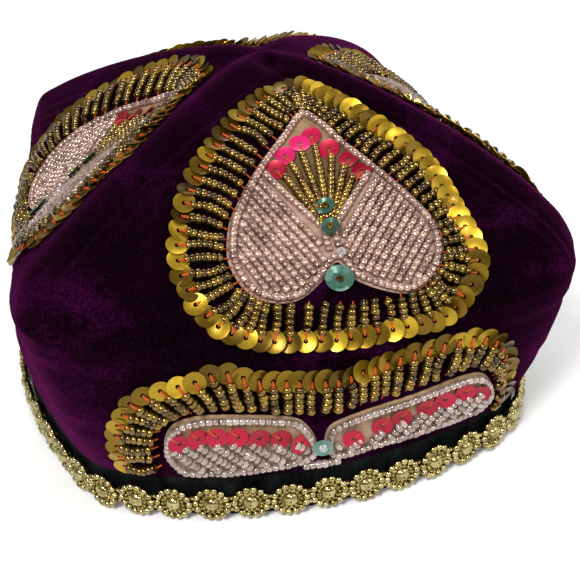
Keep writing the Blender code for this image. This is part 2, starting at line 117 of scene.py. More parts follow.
# The fan inside a heart: its base, its edges as degrees from straight up, and how far they run.
FAN_BASE = (2.0, 47.2)
FAN_EDGES, FAN_EDGE_REACHES = (-33.0, 36.0), (31, 29)
FAN_STRANDS = ((-26, 25.0), (-17, 28.0), (-8.5, 31.0), (0, 31.5), (9, 27.5), (18.5, 23.0), (28, 19.5))
FAN_START = 4.0
# Past this distance from its base, the ground inside the fan is tan and no longer olive.
FAN_GROUND_REACH = 33
# Degrees, distance from the base, and how red each sequin of the fan is.
FAN_SEQUINS = (
    (-28.1, 28.9, 0.75), (-17.9, 32.0, 0.1), (-7.4, 34.6, 0.0), (-0.8, 36.2, 0.35),
    (7.6, 30.2, 0.45), (20.3, 25.9, 0.85), (32.7, 22.2, 1.0),
)
# The least redness of those sequins, heart by heart.
FAN_REDNESS = {"front": 0.0, "right": 0.3, "back": 0.0, "left": 0.9}
SMALL_CUPS = ((1.8, 38.7), (2.3, 45.8))
CLEAR_BEAD = (4.6, 54.2)
# The seam between a heart's lobes, from the fan's base to the notch.
CLEFT = ((2.0, 48.5), (2.6, 52.0), (3.1, 55.0))

# The brow, as in the solids.
LEAF_ROWS = {
    "left": (
        (-1.8, 145.5), (-3.6, 140.0), (-7.0, 135.8), (-13.0, 134.3), (-22.6, 133.8), (-33.8, 134.8),
        (-42.2, 138.4), (-46.2, 145.6), (-45.4, 151.0), (-41.6, 155.2), (-35.0, 155.6), (-21.4, 154.0),
        (-7.0, 151.6), (-2.4, 149.4),
    ),
    "right": (
        (0.4, 146.5), (1.8, 140.6), (7.0, 138.4), (16.6, 137.3), (28.6, 137.2), (41.0, 136.8),
        (48.6, 138.2), (53.0, 142.4), (55.4, 148.0), (53.4, 151.9), (46.0, 152.8), (33.0, 152.0),
        (14.0, 151.4), (3.0, 151.8),
    ),
}
# Red sequins of each leaf, and where its slanting strands may start.
LEAF_SEQUINS = {
    "left": (
        (-41.0, 143.2), (-35.3, 141.0), (-29.6, 140.2), (-23.8, 139.8), (-18.0, 140.2),
        (-12.2, 141.0), (-6.6, 143.2),
    ),
    "right": (
        (8.2, 145.2), (16.6, 143.2), (22.6, 142.4), (30.4, 141.8), (36.4, 141.4),
        (43.2, 141.6), (49.0, 144.0),
    ),
}
LEAF_STRAND_TOPS = {
    "left": ((-46.0, 147.0), (-36.0, 143.6), (-22.0, 142.4), (-8.0, 143.4), (0.0, 145.0)),
    "right": ((0.0, 147.0), (12.0, 146.0), (26.0, 144.0), (42.0, 143.4), (56.0, 146.0)),
}
LEAF_STRAND_DEGREES = 50.0
# Down to this depth, the ground inside a leaf is tan and not rosy.
LEAF_TAN_DEPTH = 139
MIDDLE_BORDER = ((-6.0, 152.2), (-1.0, 152.6), (4.0, 152.6))
BROW_ROWS = (
    (-49.4, 155.0, -66.6, 157.0), (-48.8, 148.0, -66.2, 149.5), (-47.6, 142.6, -64.0, 141.8),
    (-44.9, 138.8, -60.2, 135.6), (-41.0, 135.9, -54.2, 128.5), (-35.0, 133.5, -44.6, 124.4),
    (-29.5, 132.4, -36.6, 121.4), (-23.8, 131.9, -28.4, 117.4), (-17.0, 132.3, -19.0, 119.2),
    (-10.0, 133.3, -9.5, 120.2), (-2.5, 134.5, -1.0, 121.4), (5.0, 135.2, 6.5, 122.3),
    (12.5, 135.1, 14.5, 121.2), (20.0, 134.9, 23.5, 120.2), (28.0, 134.7, 32.5, 120.2),
    (35.5, 134.1, 40.5, 120.4), (42.5, 133.9, 48.5, 121.8), (47.8, 135.3, 54.4, 125.2),
    (52.4, 138.9, 59.2, 131.8), (55.6, 143.2, 62.4, 140.2), (57.6, 148.6, 64.4, 147.4),
    (57.8, 154.5, 66.4, 154.0),
)
# Pitch of the brow's sequins, from its left end.
BROW_PITCHES = ((0.0, 5.6), (0.36, 5.4), (0.46, 3.9), (0.6, 3.8), (0.66, 4.8), (0.85, 4.4), (1.0, 4.2))
BROW_CUP_PLACE, BROW_CUP_RADIUS, BROW_CUP_DISH, BROW_CUP_LIFT = (-0.8, 144.9), 2.9, 0.5, 3.0

# Beads, sequins and threads.
PINK_RADIUS, PINK_LENGTH, PINK_PITCH, PINK_ROW_PITCH = 1.2, 1.75, 1.88, 2.36
STRAND_RADIUS, STRAND_PITCH, STRAND_ROW_PITCH = 1.5, 1.8, 3.5
GOLD_RADIUS, BROW_GOLD_RADIUS, GOLD_LENGTH, GOLD_PITCH = 1.43, 1.55, 1.5, 1.6
FAN_GOLD_RADIUS = 1.25
# Radius and length of the single beads: on a cup, under a fan and between the leaves.
CUP_BEAD_SIZE, CLEAR_BEAD_SIZE, BROW_BEAD_SIZE = (1.15, 1.3), (1.55, 1.5), (1.35, 1.4)
BEAD_HOLE, BEAD_SIDES = 0.34, 8
# How far from a fringe's inner edge its spokes start, by the width of the fringe there.
FRINGE_WIDTHS, SPOKE_STARTS = (13.0, 17.0, 22.0), (0.6, 1.8, 4.4)
SEQUIN_RADIUS, SEQUIN_HOLE, SEQUIN_THICKNESS = 3.3, 0.68, 0.14
SEQUIN_DISH, SEQUIN_SIDES = 0.32, 24
# Tilt of a sequin in degrees, by its distance to the next one.
SHINGLE_PITCHES, SHINGLE_DEGREES = (3.6, 4.2, 5.2), (36.0, 23.0, 9.0)
# How much of that tilt each row of sequins has. A minus turns the other edge up.
TILT_SHARES = {"front": 1.0, "right": 0.25, "back": 1.0, "left": -0.4, "brow": 0.45}
PINK_SEQUIN_RADIUS = 3.25
SMALL_CUP_RADIUS, SMALL_CUP_DISH = 2.8, 0.6
THREAD_RADIUS = 0.25
PAD_FLOOR, PAD_TOP, PAD_ROLL = 0.05, 0.75, 0.35
PAD_BORDER, LEAF_PAD_BORDER = 0.3, 0.1
PINK_LIFT, GOLD_LIFT, SEQUIN_LIFT = 1.5, 1.45, 0.8
SMALL_CUP_LIFT, SMALL_CUP_BEAD_LIFT, CLEAR_BEAD_LIFT = PAD_TOP + 2.2, PAD_TOP + 3.0, PAD_TOP + 1.6
CUP_BEAD_LIFT, BROW_BEAD_LIFT = 3.7, 3.9
# How far the bead rows keep from the edge of a heart or a leaf, and from the fan and the cleft.
EDGE_CLEARANCE, LEAF_CLEARANCE = 2.45 * PINK_RADIUS, 2.5 * PINK_RADIUS
FAN_CLEARANCE, CLEFT_CLEARANCE = 2.6 * PINK_RADIUS, 3.1 * PINK_RADIUS

# The trim: rosettes of cast beads in a chain.
ROSETTE_COUNT, ROSETTE_CENTRE_HEIGHT = 51, 6.9
ROSETTE_RADIUS, ROSETTE_LIFT = 6.7, 0.6
ROSETTE_PETALS, PETAL_RING, PETAL_RADIUS, PETAL_HEIGHT = 14, 5.0, 1.2, 1.3
INNER_BEADS, INNER_RING, INNER_RADIUS, INNER_HEIGHT = 14, 3.35, 0.52, 1.75
DOME_RADIUS, DOME_HEIGHT, DOME_SIDES = 2.55, 2.4, 12
ROSETTE_BACK_RADIUS = 4.9
LINK_RADIUS, LINK_RISE, LINK_LIFT = 0.95, 2.0, 0.9

# Darkest and lightest colour of each kind of glass bead.
PINK_GLASS = ((0.18, 0.095, 0.075), (0.47, 0.295, 0.225))
CLEAR_PINK = ((0.36, 0.25, 0.21), (0.68, 0.54, 0.47))
BROWN_GOLD = ((0.045, 0.022, 0.003), (0.24, 0.14, 0.018))
BRIGHT_GOLD = ((0.09, 0.045, 0.005), (0.34, 0.2, 0.03))
CLEAR_GLASS = ((0.8, 0.8, 0.78), (0.9, 0.9, 0.88))
# Colours of each kind of foil, each after the tint that it belongs to.
GOLD_FOIL = ((0.0, (0.08, 0.045, 0.003)), (0.5, (0.19, 0.11, 0.006)), (1.0, (0.5, 0.325, 0.022)))
PINK_FOIL = ((0.0, (0.6, 0.012, 0.12)), (0.45, (0.36, 0.004, 0.025)), (1.0, (0.22, 0.002, 0.006)))
GREEN_FOIL = ((0.0, (0.03, 0.075, 0.05)), (0.5, (0.06, 0.15, 0.115)), (1.0, (0.2, 0.34, 0.28)))

# The lights: name, place, what it aims at, size and power. Then the strength of the pale sky.
LIGHTS = (
    ("Key", (-0.45, -0.75, 0.95), (0, 0, 0.05), 0.3, 15.0),
    ("Fill", (0.9, -0.45, 0.6), (0, 0, 0.05), 0.8, 5.0),
    ("Back", (0.1, 0.8, 0.9), (0, 0, 0.08), 0.7, 7.0),
    ("Spark", (0.1, -0.9, 0.5), (0, 0, 0.06), 0.05, 2.4),
)
SKY_STRENGTH = 0.34
FLOOR_HALF_SIZE = 6.0

# The camera, fitted to the lines of the photograph.
CAMERA_YAW, CAMERA_RISE, CAMERA_ROLL = -10.302, 30.816, -4.217
CAMERA_DISTANCE, CAMERA_LENS, SENSOR = 435.699, 73.19, 36.0
CAMERA_AIM_ACROSS, CAMERA_AIM_UP = 11.505, 20.396


def squared_oval(angle, half_width, half_length, squareness):
    across = np.abs(np.cos(angle) / half_width) ** squareness
    along = np.abs(np.sin(angle) / half_length) ** squareness
    return (across + along) ** (-1 / squareness)


def corner_share(angle):
    """1 at the four corners and 0 half way between them."""
    return np.abs(np.sin(2 * angle)) ** CORNER_SHARPNESS


def fold_at(angle):
    """Radius and height of the fold between wall and crown."""
    quarter = np.floor(np.mod(angle, 2 * np.pi) / (np.pi / 2)).astype(int) % 4
    reach, height = np.moveaxis(np.array(CORNER_ROWS)[quarter], -1, 0)
    corner = corner_share(angle)
    radius = squared_oval(angle, FOLD_HALF_WIDTH, FOLD_HALF_LENGTH, FOLD_SQUARENESS)
    rise = FOLD_HEIGHT_AT_SIDES + (height - FOLD_HEIGHT_AT_SIDES) * corner
    return radius * (1 + reach * corner), rise


def flare(share):
    start, end = FLARE_START**FLARE_POWER, (1 + FLARE_START) ** FLARE_POWER
    return ((share + FLARE_START) ** FLARE_POWER - start) / (end - start)


def creased_point(angle, level):
    """Outer surface with a sharp fold. Level 0 is the rim, 1 the fold and 2 the crown's point."""
    corner = corner_share(angle)
    fold_radius, fold_height = fold_at(angle)
    rim_radius = squared_oval(angle, RIM_HALF_WIDTH, RIM_HALF_LENGTH, RIM_SQUARENESS)
    up = np.clip(level, 0, 1)
    out = np.clip(2 - level, 0, 1)
    wall = rim_radius + (fold_radius - rim_radius) * flare(up)
    wall = wall + WALL_SWELL * np.sin(np.pi * up) * (1 - corner)
    curve = CROWN_CURVE_AT_SIDES + (CROWN_CURVE_AT_CORNERS - CROWN_CURVE_AT_SIDES) * corner
    rise = (1 - out**curve) ** (1 / curve)
    from_seam = seam_distance(angle, level)
    ridge = RIDGE_HEIGHT * np.exp(-((from_seam / RIDGE_WIDTH) ** 2)) * np.sin(np.pi * out) ** 0.5
    on_crown = level > 1
    radius = np.where(on_crown, fold_radius * out, wall)
    crown = fold_height + (CROWN_HEIGHT - fold_height) * rise + ridge
    height = np.where(on_crown, crown, fold_height * up)
    drift = np.where(on_crown, 1 - out**2, 0.0)
    x = radius * np.cos(angle) + POINT_OFFSET[0] * drift
    y = radius * np.sin(angle) + POINT_OFFSET[1] * drift
    return np.stack([x, y, height], axis=-1)


def seam_distance(angle, level):
    """How far a place lies from the nearest seam between two gores."""
    fold_radius, _ = fold_at(angle)
    turn = np.abs(np.mod(angle, np.pi / 2) - np.pi / 4)
    return turn * fold_radius * np.clip(2 - level, 0, 1)


def cap_point(angle, level):
    """Outer surface of the cloth, with the fold rounded off."""
    reach = FOLD_SOFTNESS * np.exp(-(((level - 1) / FOLD_REACH) ** 2))
    below = creased_point(angle, np.maximum(level - reach, 0))
    above = creased_point(angle, np.minimum(level + reach, 2))
    return (below + 2 * creased_point(angle, level) + above) / 4


def unit(vectors):
    return vectors / np.linalg.norm(vectors, axis=-1, keepdims=True)


def outward(angle, level):
    """Unit normal of the velvet, away from the head."""
    turn, step = 0.02, 0.02
    low, high = np.clip(level - step, 0, 1.985), np.clip(level + step, 0.01, 1.995)
    around = cap_point(angle + turn, level) - cap_point(angle - turn, level)
    upward = cap_point(angle, high) - cap_point(angle, low)
    return unit(np.cross(around, upward))


def smooth_step(value, low, high):
    share = np.clip((value - low) / (high - low), 0, 1)
    return share * share * (3 - 2 * share)


def relief(angle, level):
    """How far the velvet stands above the plain surface: piping, stitched lines, creases, dimple."""
    from_seam = seam_distance(angle, level)
    fold_radius, _ = fold_at(angle)
    half_width = np.pi / 4 * fold_radius * np.clip(2 - level, 0, 1)
    on_crown = smooth_step(level, 0.9, 1.04)
    high = PIPING_HEIGHT * np.exp(-((from_seam / PIPING_WIDTH) ** 2)) * on_crown
    high = high * smooth_step(half_width, 2, 12)
    for line in STITCH_LINES:
        groove = np.exp(-(((from_seam - line) / STITCH_WIDTH) ** 2))
        high = high - STITCH_DEPTH * groove * on_crown * smooth_step(half_width, line, line + 8)
    beside_brow = 1 - np.exp(-(((np.mod(angle, 2 * np.pi) - 1.5 * np.pi) / 0.55) ** 4))
    for crease, depth in CREASE_LEVELS:
        wander = 0.012 * np.sin(5 * angle + 9 * crease) + 0.008 * np.sin(11 * angle + 4 * crease)
        away = (level - crease - wander) / CREASE_WIDTH
        strength = depth * beside_brow * (0.65 + 0.35 * np.sin(3 * angle + 7 * crease))
        high = high + strength * (0.6 * np.exp(-((away - 1.5) ** 2)) - np.exp(-(away**2)))
    wall = smooth_step(level, 0.25, 0.45) * (1 - smooth_step(level, 0.95, 1.15))
    high = high + 0.3 * np.sin(17 * angle + 5 * level) * wall * beside_brow
    point = cap_point(angle, level)
    off = np.hypot(point[..., 0] - DIMPLE_PLACE[0], point[..., 1] - DIMPLE_PLACE[1])
    return high - DIMPLE_DEPTH * np.exp(-((off / DIMPLE_WIDTH) ** 2)) * smooth_step(level, 1.5, 1.8)


def cloth_point(angle, level, depth):
    """A point this deep in the cloth. Near the rim the depth runs level, so that the rim is flat."""
    point = cap_point(angle, level)
    normal = outward(angle, level)
    normal[..., 2] *= np.clip(point[..., 2] / RIM_BAND_HEIGHT, 0, 1)
    return point - unit(normal) * depth[..., None]


def row_shift():
    """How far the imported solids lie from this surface, which has its origin under the rim's middle."""
    angles = np.arange(CAD_BAND_COLUMNS) * 2 * np.pi / CAD_BAND_COLUMNS
    _, fold_height = fold_at(angles)
    rings = [cap_point(angles, level / fold_height) for level in (0.0, RIM_BAND_HEIGHT)]
    points = np.concatenate(rings) * MM
    low, high = (np.array(corner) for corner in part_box("rim_band"))
    shift = (low + high) / 2 - (points.min(axis=0) + points.max(axis=0)) / 2
    return np.array([shift[0], shift[1], low[2] - points[:, 2].min()])


SHIFT = row_shift()


def centre_line(angle):
    levels = np.linspace(2, 0, 400)
    line = cap_point(np.full_like(levels, angle), levels)
    steps = np.linalg.norm(np.diff(line, axis=0), axis=1)
    return levels, np.concatenate([[0], np.cumsum(steps)])


def on_gore(gore_angle, across, down, lift):
    """A point of the beadwork, from its place across the gore and down from the crown's point."""
    levels, distances = centre_line(gore_angle)
    level = np.interp(down, distances, levels)
    fold_radius, _ = fold_at(np.array([gore_angle]))
    out = fold_radius[0] * np.clip(2 - level, 0.02, 1)
    angle = gore_angle + np.arctan2(across, out)
    lift = np.broadcast_to(lift, np.shape(angle))
    return cap_point(angle, level) + outward(angle, level) * lift[..., None]


class Patch:
    """A part of the cap that a motif is sewn to, with places in millimetres across it and down it."""

    def __init__(self, degrees, across=0.0, down=0.0, wide=1.0, tall=1.0, lean_degrees=0.0):
        self.angle, self.across, self.down = math.radians(degrees), across, down
        self.wide, self.tall, self.lean = wide, tall, math.radians(lean_degrees)

    def lay(self, spots, lift=0.0):
        across, down = np.moveaxis(np.asarray(spots, float), -1, 0)
        across, down = across * self.wide, down * self.tall
        cos, sin = math.cos(self.lean), math.sin(self.lean)
        turned_across = self.across + across * cos + down * sin
        turned_down = self.down + down * cos - across * sin
        return on_gore(self.angle, turned_across, turned_down, lift)

    def frames(self, spots, ways, lift):
        """Places, and turns whose columns are sideways, away from the velvet, and along the row."""
        spots, ways = np.asarray(spots, float), np.asarray(ways, float)
        at = self.lay(spots, lift)
        normal = unit(self.lay(spots, 1.0) - self.lay(spots, 0.0))
        along = self.lay(spots + 0.3 * unit(ways), lift) - at
        along = unit(along - normal * (along * normal).sum(axis=-1, keepdims=True))
        return at, np.stack([np.cross(normal, along), normal, along], axis=-1)

    def distances(self, path):
        """Distance along the velvet to each spot of a path."""
        line = self.lay(path, 1.0)
        return np.concatenate([[0], np.cumsum(np.linalg.norm(np.diff(line, axis=0), axis=1))])

    def steps(self, path, pitch, closed=False):
        """Spots and ways at equal steps on the velvet, along a path of spots."""
        path = np.asarray(path, float)
        if closed:
            path = np.concatenate([path, path[:1]])
        distance = self.distances(path)
        length = distance[-1]
        if closed:
            count = max(int(round(length / pitch)), 1)
            at = np.arange(count) / count * length
        else:
            count = int(length // pitch) + 1
            at = (length - (count - 1) * pitch) / 2 + np.arange(count) * pitch
        spots, ahead, behind = (
            np.stack([np.interp(at + shift, distance, path[:, axis]) for axis in (0, 1)], axis=-1)
            for shift in (0.0, 0.2, -0.2)
        )
        return spots, ahead - behind

    def uneven_steps(self, path, pitches, closed=False):
        """Spots along a path whose pitch changes evenly between rows of share and pitch."""
        path = np.concatenate([path, path[:1]]) if closed else path
        distance = self.distances(path)
        shares, widths = np.array(pitches).T
        pitch = np.interp(distance / distance[-1], shares, widths)
        count = np.concatenate([[0], np.cumsum(np.diff(distance) * 2 / (pitch[1:] + pitch[:-1]))])
        total = int(round(count[-1]))
        at = np.arange(total if closed else total + 1) / total * count[-1]
        spots = np.stack([np.interp(at, count, path[:, axis]) for axis in (0, 1)], axis=-1)
        return spots, np.interp(at, count, pitch)


def smooth_curve(rows, shares, closed=True):
    """Points on a Catmull-Rom curve through the rows, at these shares of its rows."""
    rows = np.asarray(rows, float)
    spans = len(rows) if closed else len(rows) - 1
    place = np.asarray(shares) * spans
    first = np.minimum(np.floor(place).astype(int), spans - 1)
    along = (place - first)[..., None]
    index = [first + shift for shift in (-1, 0, 1, 2)]
    index = [i % len(rows) if closed else np.clip(i, 0, len(rows) - 1) for i in index]
    before, start, end, after = (rows[i] for i in index)
    return 0.5 * (
        2 * start
        + (end - before) * along
        + (2 * before - 5 * start + 4 * end - after) * along**2
        + (3 * start - before - 3 * end + after) * along**3
    )


def inside(spots, outline):
    """Whether each spot lies inside a closed outline, by its crossings of the outline."""
    x, y = spots[..., 0, None], spots[..., 1, None]
    x0, y0 = outline[:, 0], outline[:, 1]
    x1, y1 = np.roll(x0, -1), np.roll(y0, -1)
    spans = (y0 > y) != (y1 > y)
    crossing = x0 + (y - y0) * (x1 - x0) / np.where(y1 == y0, 1e-9, y1 - y0)
    return (spans & (x < crossing)).sum(axis=-1) % 2 == 1


def nearest(spots, outline):
    """Distance from each spot to an outline, and the outline's point there."""
    gaps = np.linalg.norm(spots[:, None] - outline[None], axis=-1)
    return gaps.min(axis=1), gaps.argmin(axis=1)


def shrunk(outline, inset):
    """A closed outline moved inwards."""
    ahead = np.roll(outline, -1, axis=0) - np.roll(outline, 1, axis=0)
    sideways = unit(np.stack([-ahead[:, 1], ahead[:, 0]], axis=-1))
    following = np.roll(outline, -1, axis=0)
    turned = np.sum(outline[:, 0] * following[:, 1] - outline[:, 1] * following[:, 0])
    return outline + sideways * inset * math.copysign(1, turned)


def turns(seed, count, degrees):
    """Small random turns, so that no two beads sit quite alike."""
    x, y, z = np.radians(seed.normal(0, degrees, (3, count)))
    one, none = np.ones(count), np.zeros(count)
    return np.stack(
        [np.stack([one, -z, y], -1), np.stack([z, one, -x], -1), np.stack([-y, x, one], -1)], axis=1
    )


def turned_template(profile, sides, closed=True, waist=None):
    """A shape turned about Z from (radius, height) rows. waist gives a row's radius by angle."""
    rows = len(profile)
    angles = np.arange(sides) * 2 * np.pi / sides
    points = []
    for number, (radius, height) in enumerate(profile):
        wide = radius * (waist(number, angles) if waist else np.ones(sides))
        points.append(np.stack([wide * np.cos(angles), wide * np.sin(angles), np.full(sides, height)], -1))
    points = np.concatenate(points)
    faces = []
    for row in range(rows if closed else rows - 1):
        low, high = row * sides, (row + 1) % rows * sides
        for side in range(sides):
            ahead = (side + 1) % sides
            faces.append((low + side, low + ahead, high + ahead, high + side))
    return points, np.array(faces)


def bead_template(radius, length):
    """A short glass bead with a hole, standing along Z."""
    half = length / 2
    profile = [
        (BEAD_HOLE, -half), (0.8 * radius, -half), (radius, -0.45 * half),
        (radius, 0.45 * half), (0.8 * radius, half), (BEAD_HOLE, half),
    ]
    return turned_template(profile, BEAD_SIDES)


def sequin_template(radius, dish=SEQUIN_DISH, facets=0):
    """A sequin with a hole, facing +Z. dish is how far its edge stands forward."""
    thick = SEQUIN_THICKNESS
    flat = 0.62 * radius
    profile = [
        (SEQUIN_HOLE, 0.0), (flat, 0.02), (radius, dish),
        (radius, dish + thick), (flat, 0.02 + thick), (SEQUIN_HOLE, thick),
    ]

    def waist(row, angles):
        if not facets or row not in (1, 4):
            return np.ones_like(angles)
        turn = np.mod(angles, 2 * np.pi / facets) - np.pi / facets
        return math.cos(math.pi / facets) / np.cos(turn)

    return turned_template(profile, SEQUIN_SIDES, waist=waist)


def ball_template(radius, sides, rows):
    """A small ball, standing along Z."""
    heights = np.linspace(-np.pi / 2, np.pi / 2, rows + 2)
    heights[0], heights[-1] = -1.45, 1.45
    profile = [(radius * math.cos(h), radius * math.sin(h)) for h in heights]
    points, faces = turned_template(profile, sides, closed=False)
    ends = np.array([[0, 0, -radius], [0, 0, radius]])
    last = (len(profile) - 1) * sides
    count = len(points)
    caps = []
    for side in range(0, sides, 2):
        a, b, c = side, (side + 1) % sides, (side + 2) % sides
        caps.append((count, c, b, a))
        caps.append((count + 1, last + a, last + b, last + c))
    return np.concatenate([points, ends]), np.concatenate([faces, np.array(caps)])


class Pile:
    """Many small shapes that become one mesh, each with its own tint."""

    def __init__(self):
        self.points, self.faces, self.tints, self.count = [], [], [], 0

    def add(self, template, places, columns, tints):
        points, faces = template
        moved = np.einsum("kij,nj->kni", columns, points) + places[:, None]
        start = self.count + np.arange(len(places)) * len(points)
        self.points.append(moved.reshape(-1, 3))
        self.faces.append((faces[None] + start[:, None, None]).reshape(-1, 4))
        self.tints.append(np.repeat(np.broadcast_to(tints, len(places)), len(points)))
        self.count += moved.shape[0] * moved.shape[1]

    def add_tubes(self, lines, normals, radius, tints, sides=5):
        """Threads: lines has the shape (threads, points, 3)."""
        ways = unit(np.gradient(lines, axis=1))
        across = unit(np.cross(ways, normals))
        up = np.cross(across, ways)
        angles = np.arange(sides) * 2 * np.pi / sides
        ring = across[:, :, None] * np.cos(angles)[:, None] + up[:, :, None] * np.sin(angles)[:, None]
        points = lines[:, :, None] + ring * radius
        threads, along = lines.shape[:2]
        base = np.arange(threads)[:, None, None] * along * sides
        row = np.arange(along - 1)[None, :, None] * sides
        side = np.arange(sides)[None, None, :]
        ahead = (side + 1) % sides
        corners = [side, ahead, ahead + sides, side + sides]
        faces = np.stack([base + row + corner for corner in corners], axis=-1).reshape(-1, 4)
        self.points.append(points.reshape(-1, 3))
        self.faces.append(faces + self.count)
        self.tints.append(np.repeat(np.broadcast_to(tints, threads), along * sides))
        self.count += points.reshape(-1, 3).shape[0]

    def piece(self, name, material, slot, nodes=(), sharp=50):
        points, faces = np.concatenate(self.points), np.concatenate(self.faces)
        return add_piece(name, points, faces, material, nodes, np.concatenate(self.tints), sharp)


def signed_volume(points, faces):
    corner = points - points.mean(axis=0)
    a, b, c, d = (corner[faces[:, i]] for i in range(4))
    return (np.einsum("ij,ij->i", a, np.cross(b, c)) + np.einsum("ij,ij->i", a, np.cross(c, d))).sum()


def add_piece(name, points, faces, material, nodes=(), tints=None, sharp=50):
    """A piece of the visible cap, which rides on its one body."""
    if signed_volume(points, faces) < 0:
        faces = faces[:, ::-1]
    mesh = bpy.data.meshes.new(name)
    mesh.from_pydata((points * MM + SHIFT).tolist(), [], faces.tolist())
    mesh.shade_smooth()
    mesh.set_sharp_from_angle(angle=math.radians(sharp))
    mesh.materials.append(material)
    if tints is not None:
        layer = mesh.attributes.new("tint", "FLOAT", "POINT")
        layer.data.foreach_set("value", np.asarray(tints, np.float32))
    piece = bpy.data.objects.new(name, mesh)
    bpy.context.scene.collection.objects.link(piece)
    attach(piece, "root")
    if nodes:
        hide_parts(*nodes)
    return piece


def slab(place, columns, rows, ring=False):
    """Points and faces of a closed sheet. place(u, v, w) lays it, with w 0 inside and 1 outside."""
    u = np.arange(columns if ring else columns + 1) / columns
    v = np.linspace(0, 1, rows + 1)
    u_grid, v_grid = np.meshgrid(u, v, indexing="ij")
    sides = [place(u_grid, v_grid, np.full_like(u_grid, w)).reshape(-1, 3) for w in (0.0, 1.0)]
    wide, high = len(u), rows + 1
    i = np.arange(columns)[:, None]
    j = np.arange(rows)[None]
    ahead = (i + 1) % wide
    top = np.stack([i * high + j, ahead * high + j, ahead * high + j + 1, i * high + j + 1], axis=-1)
    top = top.reshape(-1, 4)
    count = wide * high
    walls = []
    for row in (0, rows):
        a, b = np.arange(columns) * high + row, ((np.arange(columns) + 1) % wide) * high + row
        wall = np.stack([b, a, a + count, b + count], axis=-1)
        walls.append(wall[:, ::-1] if row else wall)
    if not ring:
        for column in (0, columns):
            a = column * high + np.arange(rows)
            wall = np.stack([a, a + 1, a + 1 + count, a + count], axis=-1)
            walls.append(wall[:, ::-1] if column else wall)
    faces = np.concatenate([top[:, ::-1], top + count, *walls])
    return np.concatenate(sides), faces


class Shades:
    """A material and short calls for its nodes."""

    def __init__(self, name, **sockets):
        self.material = bpy.data.materials.new(name)
        self.material.use_nodes = True
        self.nodes, self.links = self.material.node_tree.nodes, self.material.node_tree.links
        self.shader = self.nodes["Principled BSDF"]
        for socket, value in sockets.items():
            self.shader.inputs[socket.replace("_", " ")].default_value = value

    def node(self, kind, **inputs):
        made = self.nodes.new(kind)
        for name, value in inputs.items():
            self.feed(made.inputs[name.replace("_", " ")], value)
        return made

    def feed(self, socket, value):
        if isinstance(value, bpy.types.NodeSocket):
            self.links.new(value, socket)
        else:
            socket.default_value = value

    def noise(self, scale, detail=2.0, stretch=(1, 1, 1), roughness=0.5):
        place = self.node("ShaderNodeTexCoord").outputs["Object"]
        mapping = self.node("ShaderNodeMapping", Vector=place, Scale=stretch)
        made = self.node(
            "ShaderNodeTexNoise", Vector=mapping.outputs[0], Scale=scale, Detail=detail, Roughness=roughness
        )
        return made.outputs["Fac"]

    def ramp(self, source, *stops):
        made = self.node("ShaderNodeValToRGB", Fac=source)
        elements = made.color_ramp.elements
        while len(elements) < len(stops):
            elements.new(0.5)
        for element, (position, colour) in zip(elements, stops):
            element.position = position
            element.color = (*colour, 1.0)
        return made.outputs["Color"]

    def mix(self, share, first, second, kind="MIX"):
        made = self.nodes.new("ShaderNodeMix")
        made.data_type = "RGBA"
        made.blend_type = kind
        self.feed(made.inputs["Factor"], share)
        for socket, value in ((6, first), (7, second)):
            linked = isinstance(value, bpy.types.NodeSocket)
            self.feed(made.inputs[socket], value if linked else (*value, 1.0))
        return made.outputs[2]

    def math(self, operation, *values):
        made = self.nodes.new("ShaderNodeMath")
        made.operation = operation
        for socket, value in zip(made.inputs, values):
            self.feed(socket, value)
        return made.outputs[0]

    def tint(self):
        made = self.nodes.new("ShaderNodeAttribute")
        made.attribute_name = "tint"
        return made.outputs["Fac"]

    def colour(self, value):
        self.feed(self.shader.inputs["Base Color"], value)

    def rough(self, value):
        self.feed(self.shader.inputs["Roughness"], value)

    def bump(self, height, distance, strength=1.0, under=None):
        made = self.node("ShaderNodeBump", Height=height, Distance=distance, Strength=strength)
        if under is not None:
            self.links.new(under, made.inputs["Normal"])
        self.links.new(made.outputs[0], self.shader.inputs["Normal"])
        return made.outputs[0]


def purple_velvet():
    """Crushed pile: nearly black where it lies flat, plum in flecks and streaks, pale along its ridges."""
    shades = Shades(
        "Purple velvet", Sheen_Weight=0.13, Sheen_Roughness=0.4, Sheen_Tint=(0.7, 0.07, 0.48, 1.0),
        Specular_IOR_Level=0.0, Roughness=0.95,
    )
    brushed = shades.noise(36, 4, (1, 1, 0.5), 0.65)
    streaks = shades.noise(120, 3, (0.35, 0.35, 1.0), 0.6)
    pile = shades.noise(1500, 2, (1, 1, 0.6), 0.7)
    lay = shades.math("MULTIPLY_ADD", streaks, 0.4, shades.math("MULTIPLY", brushed, 0.6))
    base = shades.ramp(
        lay,
        (0.38, (0.0014, 0.0006, 0.0009)), (0.52, (0.0036, 0.0006, 0.0026)), (0.68, (0.024, 0.0014, 0.019)),
    )
    speck = shades.ramp(pile, (0.42, (0.5, 0.5, 0.5)), (0.74, (2.3, 2.1, 2.3)))
    shades.colour(shades.mix(1.0, base, speck, "MULTIPLY"))
    coarse = shades.bump(lay, 0.0012, 0.55)
    shades.bump(pile, 0.0005, 0.8, coarse)
    return shades.material


def black_velvet():
    shades = Shades(
        "Black velvet", Sheen_Weight=0.06, Sheen_Roughness=0.35, Sheen_Tint=(0.1, 0.13, 0.12, 1.0),
        Specular_IOR_Level=0.03, Roughness=0.95,
    )
    lay = shades.noise(160, 3, (1, 1, 0.2), 0.6)
    pile = shades.noise(1300, 2, (1, 1, 0.5), 0.7)
    shades.colour(shades.ramp(lay, (0.35, (0.0015, 0.0015, 0.002)), (0.68, (0.009, 0.011, 0.011))))
    shades.bump(pile, 0.0005, 0.8, shades.bump(lay, 0.0006, 0.5))
    return shades.material


